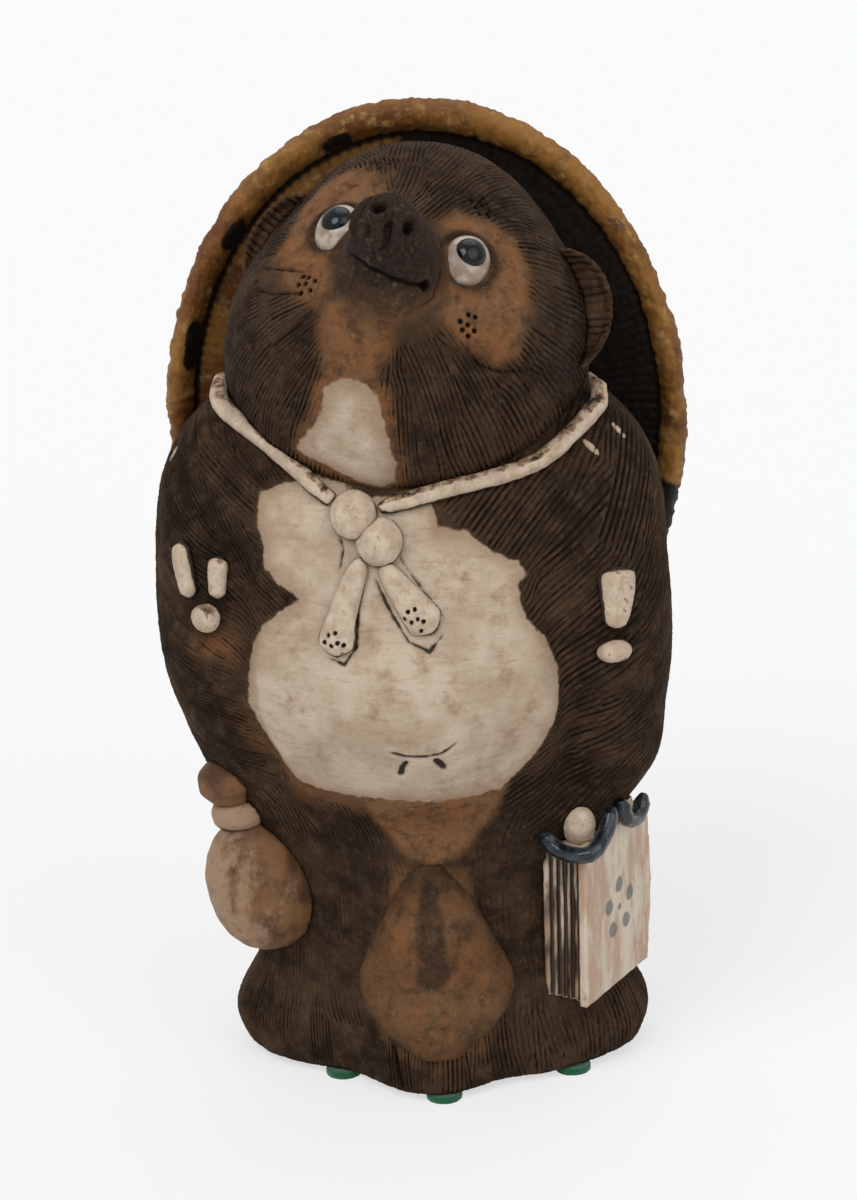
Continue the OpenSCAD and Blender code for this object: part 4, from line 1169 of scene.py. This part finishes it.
# Turn, rise and distance from the head's middle
NOSTRILS = [(-2.4, -3.5, 81), (5.2, -5.5, 79)]
NOSE_GROOVE = [(1.2, -5.5, 81), (0.9, -8, 80.5), (0.6, -11, 77), (0.8, -14, 74)]
NOSE_SIDES = [
    [(-6.4, -2, 79), (-6.2, -6, 79), (-7.5, -10, 76)],
    [(8.6, -6, 77), (8.2, -9, 76), (6.5, -12, 73)],
    [(-4.5, -6.6, 81), (-3, -8.4, 80.5), (-3.6, -11, 77)],
]


def nose_marks(points, normals):
    holes = punch(points, [snout_point(*at) for at in NOSTRILS], 2.3, 3.4)
    rims = sum(hill(np.linalg.norm(points - snout_point(*at), axis=1) - 3.3, 0.9) for at in NOSTRILS)
    groove = cut(points, [snout_point(*at) for at in NOSE_GROOVE], 3.0, 2.4)
    for line in NOSE_SIDES:
        groove = np.maximum(groove, cut(points, [snout_point(*at) for at in line], 2.0, 1.3))
    lumps = 0.8 * noise(points, 4.5, 41) + 0.5 * cloud(points, 1.8, 42) - 0.5 * rims
    shade = np.clip(holes / 2.4 + 0.5 * groove, 0, 1)
    return holes + groove + lumps, {"groove": 0.2 * shade, "soot_and_shade": 0.9 + 0 * shade, "mark": shade}


soften("nose", clay, nose_marks, voxel=0.35, rounds=6, swell=0.5, fit=NOSE_FIT)


def ear_marks(points, normals):
    d, _ = head_place(points)
    snout = face_dir(*SNOUT)

    def away(i, pick):
        return FACE @ (d[i] - (d[i] @ snout) * snout)

    groove = combed(points, normals, 11, 26, away, length=12, teeth=4, pitch=2.2, depth=0.55)
    return groove, {"groove": np.clip(groove / DEEPEST, 0, 1), "tan": 0.12 + 0 * groove}


for ear in ("ear_right", "ear_left"):
    soften(ear, clay, ear_marks, voxel=0.5, rounds=6, swell=0.3)


def bare(points, normals):
    return 0.0, {"wear_and_shade": np.zeros(len(points))}


EYE_RINGS, EYE_SIDES = 70, 110


def eye_part(name, node, side, rise, lift, lean, half, material):
    """Ball of an eye or its pupil, set into the head's skin; side -1 is the right eye."""
    turn = side * EYE_TURN
    look = FACE @ turned("z", turn) @ turned("x", -rise)
    middle = HEAD_PLACE + look @ np.array([0, -head_r(face_dir(turn, rise)) - lift, 0])
    look = look @ turned("y", side * lean)
    d = ball(np.linspace(0.01, math.pi - 0.01, EYE_RINGS), EYE_SIDES).reshape(-1, 3)
    points = middle + (d * half) @ look.T
    points = points + (d @ look.T) * (0.06 * cloud(points, 3, 45))[:, None]
    add_mesh(name, points, capped(EYE_RINGS, EYE_SIDES), material, [node],
             {"wear_and_shade": step(-0.5, 0.1, d[:, 1])})


for side, word in ((-1, "right"), (1, "left")):
    eye_part("eye_white_" + word, "eye_" + word, side, EYE_RISE, EYE_LIFT, EYE_LEAN,
             EYE_HALF, eye_white)
    eye_part("eye_black_" + word, "pupil_" + word, side, EYE_RISE + PUPIL_RISE, PUPIL_LIFT, 0,
             PUPIL_HALF, eye_black)


# Flask, ledger, pouch and tail

def flask_marks(points, normals):
    middle = (points.max(0) + points.min(0)) / 2
    wash = 0.3 + 0.45 * step(14, -14, points[:, 0] - middle[0] + 0.25 * (points[:, 2] - middle[2]))
    return 0.25 * cloud(points, 7, 51), {"cream": wash, "dark": 0 * wash}


def height_share(points):
    """Height of points from 0 to 1, from the piece's foot to its top."""
    return (points[:, 2] - points[:, 2].min()) / np.ptp(points[:, 2])


def band_marks(points, normals):
    height = height_share(points)
    attributes = {"cream": 1 - 0.5 * step(0.35, 0.1, height), "dark": step(0.3, 0.0, height)}
    return 0.2 * cloud(points, 4, 52), attributes


def stopper_marks(points, normals):
    height = height_share(points)
    return 0.0, {"cream": 0 * height, "dark": 0.5 * step(0.25, 0.0, height)}


soften("flask_body", flask_clay, flask_marks, voxel=0.6, rounds=10, swell=0.25)
soften("flask_band", flask_clay, band_marks, rounds=10)
soften("flask_stopper", flask_clay, stopper_marks, rounds=24, swell=0.7)


# Angle and height of the dark stripe down the pouch, and how far it lies off the trunk's skin
STRIPE = [(271.6, 78), (271.6, 60), (270.9, 43)]
POUCH_T = 4.0


def pouch_marks(points, normals):
    _, z, lift = trunk_place(points)
    middle = skin_path(trunk_point, STRIPE) + np.array([0, -POUCH_T, 0])
    d, t = line_distance(points, middle)
    d = d + 0.8 * noise(points, 3, 61)
    half = 2.2 + 2.8 * t
    stripe = step(half + 1.6, half - 1.0, d) * step(-0.05, 0.15, t)
    rough = 0.3 * cloud(points, 8, 62) + 0.08 * cloud(points, 2, 63)
    # The tan fades out near the trunk and towards the pouch's top: painted shade where the pouch meets the
    # trunk, and painted shadow under the belly's tip.
    tan = (0.28 + 0.55 * step(0.6, 3.8, lift)) * (0.85 + 0.4 * cloud(points, 14, 64)) * step(86, 62, z)
    return rough + 0.9 * stripe, {"tan": np.clip(tan, 0, 1), "soot_and_shade": 0.75 * stripe, "groove": 0 * d}


def back_marks(points, normals):
    def upward(i, pick):
        return np.array([pick.normal(0, 0.12), 0, 1.0])

    groove = combed(points, normals, 12, 60, upward, length=18, teeth=5, pitch=2.1, depth=0.5)
    return groove, {"groove": np.clip(groove / DEEPEST, 0, 1)}


pouch_clay = clay_look("pouch_clay", cream=False)
soften("pouch", pouch_clay, pouch_marks, voxel=0.5, rounds=12, swell=0.3)
soften("tail", clay, back_marks, voxel=0.55, rounds=8, swell=0.3)


LEDGER_T, LEDGER_H, COVER_T = 15.0, 51.0, 3.0
LEDGER_Z, LEDGER_ANGLE, LEDGER_OUT, LEDGER_TURN = 28.0, 323.0, 9.6, 27.0
LEDGER_PLACE = trunk_point(LEDGER_ANGLE, LEDGER_Z + LEDGER_H + LEDGER_T / 3, LEDGER_OUT) * [1, 1, 0]
LEDGER = turned("z", -LEDGER_TURN)
LEAF_GROOVES = 4


def in_ledger(points):
    """Places from the near lower corner: x across the leaves, y back along the cover, z up."""
    return (points - LEDGER_PLACE - [0, 0, LEDGER_Z]) @ LEDGER


def leaf_marks(points, normals):
    q = in_ledger(points)
    gap = (LEDGER_T - COVER_T) / (LEAF_GROOVES + 1)
    x = (q[:, 0] + LEDGER_T) / gap + 0.12 * noise(points * [1, 1, 0.2], 4, 72)
    lines = hill(np.abs(x - np.round(x)), 0.16) * step(0.5, 0.8, x) * step(5.3, 4.8, x)
    facing = step(0.3, 0.7, -(normals @ LEDGER)[:, 1])
    lines = lines * facing
    shade = 0.55 + 0.5 * cloud(points * [1, 1, 0.3], 3, 71)
    dark = np.clip(shade * facing + lines, 0, 1)
    return 0.8 * lines + 0.2 * cloud(points, 3, 73), {"dark": dark, "ink": 0 * shade}


# Place of the blossom on the cover, back and up, and its petals' reach and radius
BLOSSOM = (21.0, 24.0)
PETAL_REACH, PETAL_R = 7.4, 3.6


def cover_marks(points, normals):
    """Plum blossom of five dabs on the cover."""
    q = in_ledger(points)
    facing = step(0.3, 0.7, (normals @ LEDGER)[:, 0])
    ink = hill(np.hypot(q[:, 1] - BLOSSOM[0], q[:, 2] - BLOSSOM[1]), 1.4)
    for k in range(5):
        angle = math.radians(90 + 72 * k)
        y = BLOSSOM[0] + PETAL_REACH * math.cos(angle)
        z = BLOSSOM[1] + PETAL_REACH * math.sin(angle)
        ink = np.maximum(ink, hill(np.hypot(q[:, 1] - y, q[:, 2] - z) / PETAL_R, 1.05) ** 1.5)
    edge = step(5, 0, np.minimum(q[:, 1], LEDGER_H - q[:, 2])) + step(3, 0, q[:, 2])
    ink = np.clip(ink * facing * (1 + 0.25 * noise(points, 2.5, 74)), 0, 1)
    return 0.15 * cloud(points, 5, 75), {"dark": 0.25 * np.clip(edge, 0, 1), "ink": ink}


soften("ledger_leaves", ledger_slip, leaf_marks, rounds=3, swell=0.1)
soften("ledger_cover", ledger_slip, cover_marks, rounds=4, swell=0.15)
soften("ledger_knots", cream, worn(0.2, 0.12))
soften("ledger_cord", cord_glaze, bare, voxel=0.35)
soften("felt_pads", felt, voxel=0.35, rounds=2, swell=0.05)


# Floor, light and camera

PAPER_WHITE = 0.8
SEEN_WHITE, SEEN_LIFT = 0.32, 0.62
FLOOR_HALF = 4
SKY, SEEN_SKY = 0.5, 0.95


def grey(value):
    return (value, value, value, 1)


def choose_for_camera(tree, plain, seen, output):
    """One shader for the camera's own rays, and another for all others."""
    rays = tree.nodes.new("ShaderNodeLightPath")
    choice = tree.nodes.new("ShaderNodeMixShader")
    tree.links.new(rays.outputs["Is Camera Ray"], choice.inputs[0])
    tree.links.new(plain.outputs[0], choice.inputs[1])
    tree.links.new(seen.outputs[0], choice.inputs[2])
    tree.links.new(choice.outputs[0], tree.nodes[output].inputs["Surface"])


def make_floor():
    """White paper that shows the camera a softer shadow than it gets."""
    paper = bpy.data.materials.new("paper")
    paper.use_nodes = True
    tree = paper.node_tree
    tree.nodes.remove(tree.nodes["Principled BSDF"])
    plain = tree.nodes.new("ShaderNodeBsdfDiffuse")
    plain.inputs["Color"].default_value = grey(PAPER_WHITE)
    soft = tree.nodes.new("ShaderNodeBsdfDiffuse")
    soft.inputs["Color"].default_value = grey(SEEN_WHITE)
    glow = tree.nodes.new("ShaderNodeEmission")
    glow.inputs["Strength"].default_value = SEEN_LIFT
    both = tree.nodes.new("ShaderNodeAddShader")
    tree.links.new(soft.outputs[0], both.inputs[0])
    tree.links.new(glow.outputs[0], both.inputs[1])
    choose_for_camera(tree, plain, both, "Material Output")
    mesh = bpy.data.meshes.new("floor")
    corners = [(x * FLOOR_HALF, y * FLOOR_HALF, 0) for x, y in ((-1, -1), (1, -1), (1, 1), (-1, 1))]
    mesh.from_pydata(corners, [], [(0, 1, 2, 3)])
    mesh.materials.append(paper)
    linked("floor", mesh)


make_floor()

TARGET = np.array([0.0, 0.0, 0.145])
VIEW_TURN, VIEW_RISE, VIEW_ROLL = 3.0, 20.0, 1.6
VIEW_FAR = 1.3
SENSOR, LENS = 36, 127.53
SHIFT_X, SHIFT_Y = 0.00375, -0.00075
LIGHT_FAR = 2.0
# Name, turn, rise, angle that it fills and strength of each wide, even light
LIGHTS = [("key", -34, 50, 36, 1.25), ("fill", 48, 36, 50, 0.6), ("top", 165, 60, 50, 0.5)]


def aim(thing, place, roll=0.0):
    """Point a camera or light at the target from a place."""
    back = unit(np.asarray(place) - TARGET)
    right = unit(np.cross([0, 0, 1], back))
    up = np.cross(back, right)
    c, s = math.cos(math.radians(roll)), math.sin(math.radians(roll))
    right, up = c * right - s * up, s * right + c * up
    matrix = np.eye(4)
    matrix[:3, 0], matrix[:3, 1], matrix[:3, 2], matrix[:3, 3] = right, up, back, place
    thing.matrix_world = Matrix(matrix.tolist())


def from_target(turn, rise, far):
    turn, rise = math.radians(turn), math.radians(rise)
    back = np.array([math.sin(turn) * math.cos(rise), -math.cos(turn) * math.cos(rise), math.sin(rise)])
    return TARGET + back * far


camera = linked("camera", bpy.data.cameras.new("camera"))
camera.data.sensor_fit = "VERTICAL"
camera.data.sensor_height = SENSOR
camera.data.lens = LENS
camera.data.shift_x = SHIFT_X
camera.data.shift_y = SHIFT_Y
aim(camera, from_target(VIEW_TURN, VIEW_RISE, VIEW_FAR), VIEW_ROLL)
bpy.context.scene.camera = camera


for name, turn, rise, spread, power in LIGHTS:
    light = bpy.data.lights.new(name, "SUN")
    light.angle = math.radians(spread)
    light.energy = power
    aim(linked(name, light), from_target(turn, rise, LIGHT_FAR))


def make_world():
    world = bpy.data.worlds.new("studio")
    bpy.context.scene.world = world
    world.use_nodes = True
    sky = world.node_tree.nodes["Background"]
    sky.inputs["Color"].default_value = grey(1)
    sky.inputs["Strength"].default_value = SKY
    seen = world.node_tree.nodes.new("ShaderNodeBackground")
    seen.inputs["Color"].default_value = grey(SEEN_SKY)
    choose_for_camera(world.node_tree, sky, seen, "World Output")


make_world()

bpy.context.scene.view_settings.view_transform = "Standard"
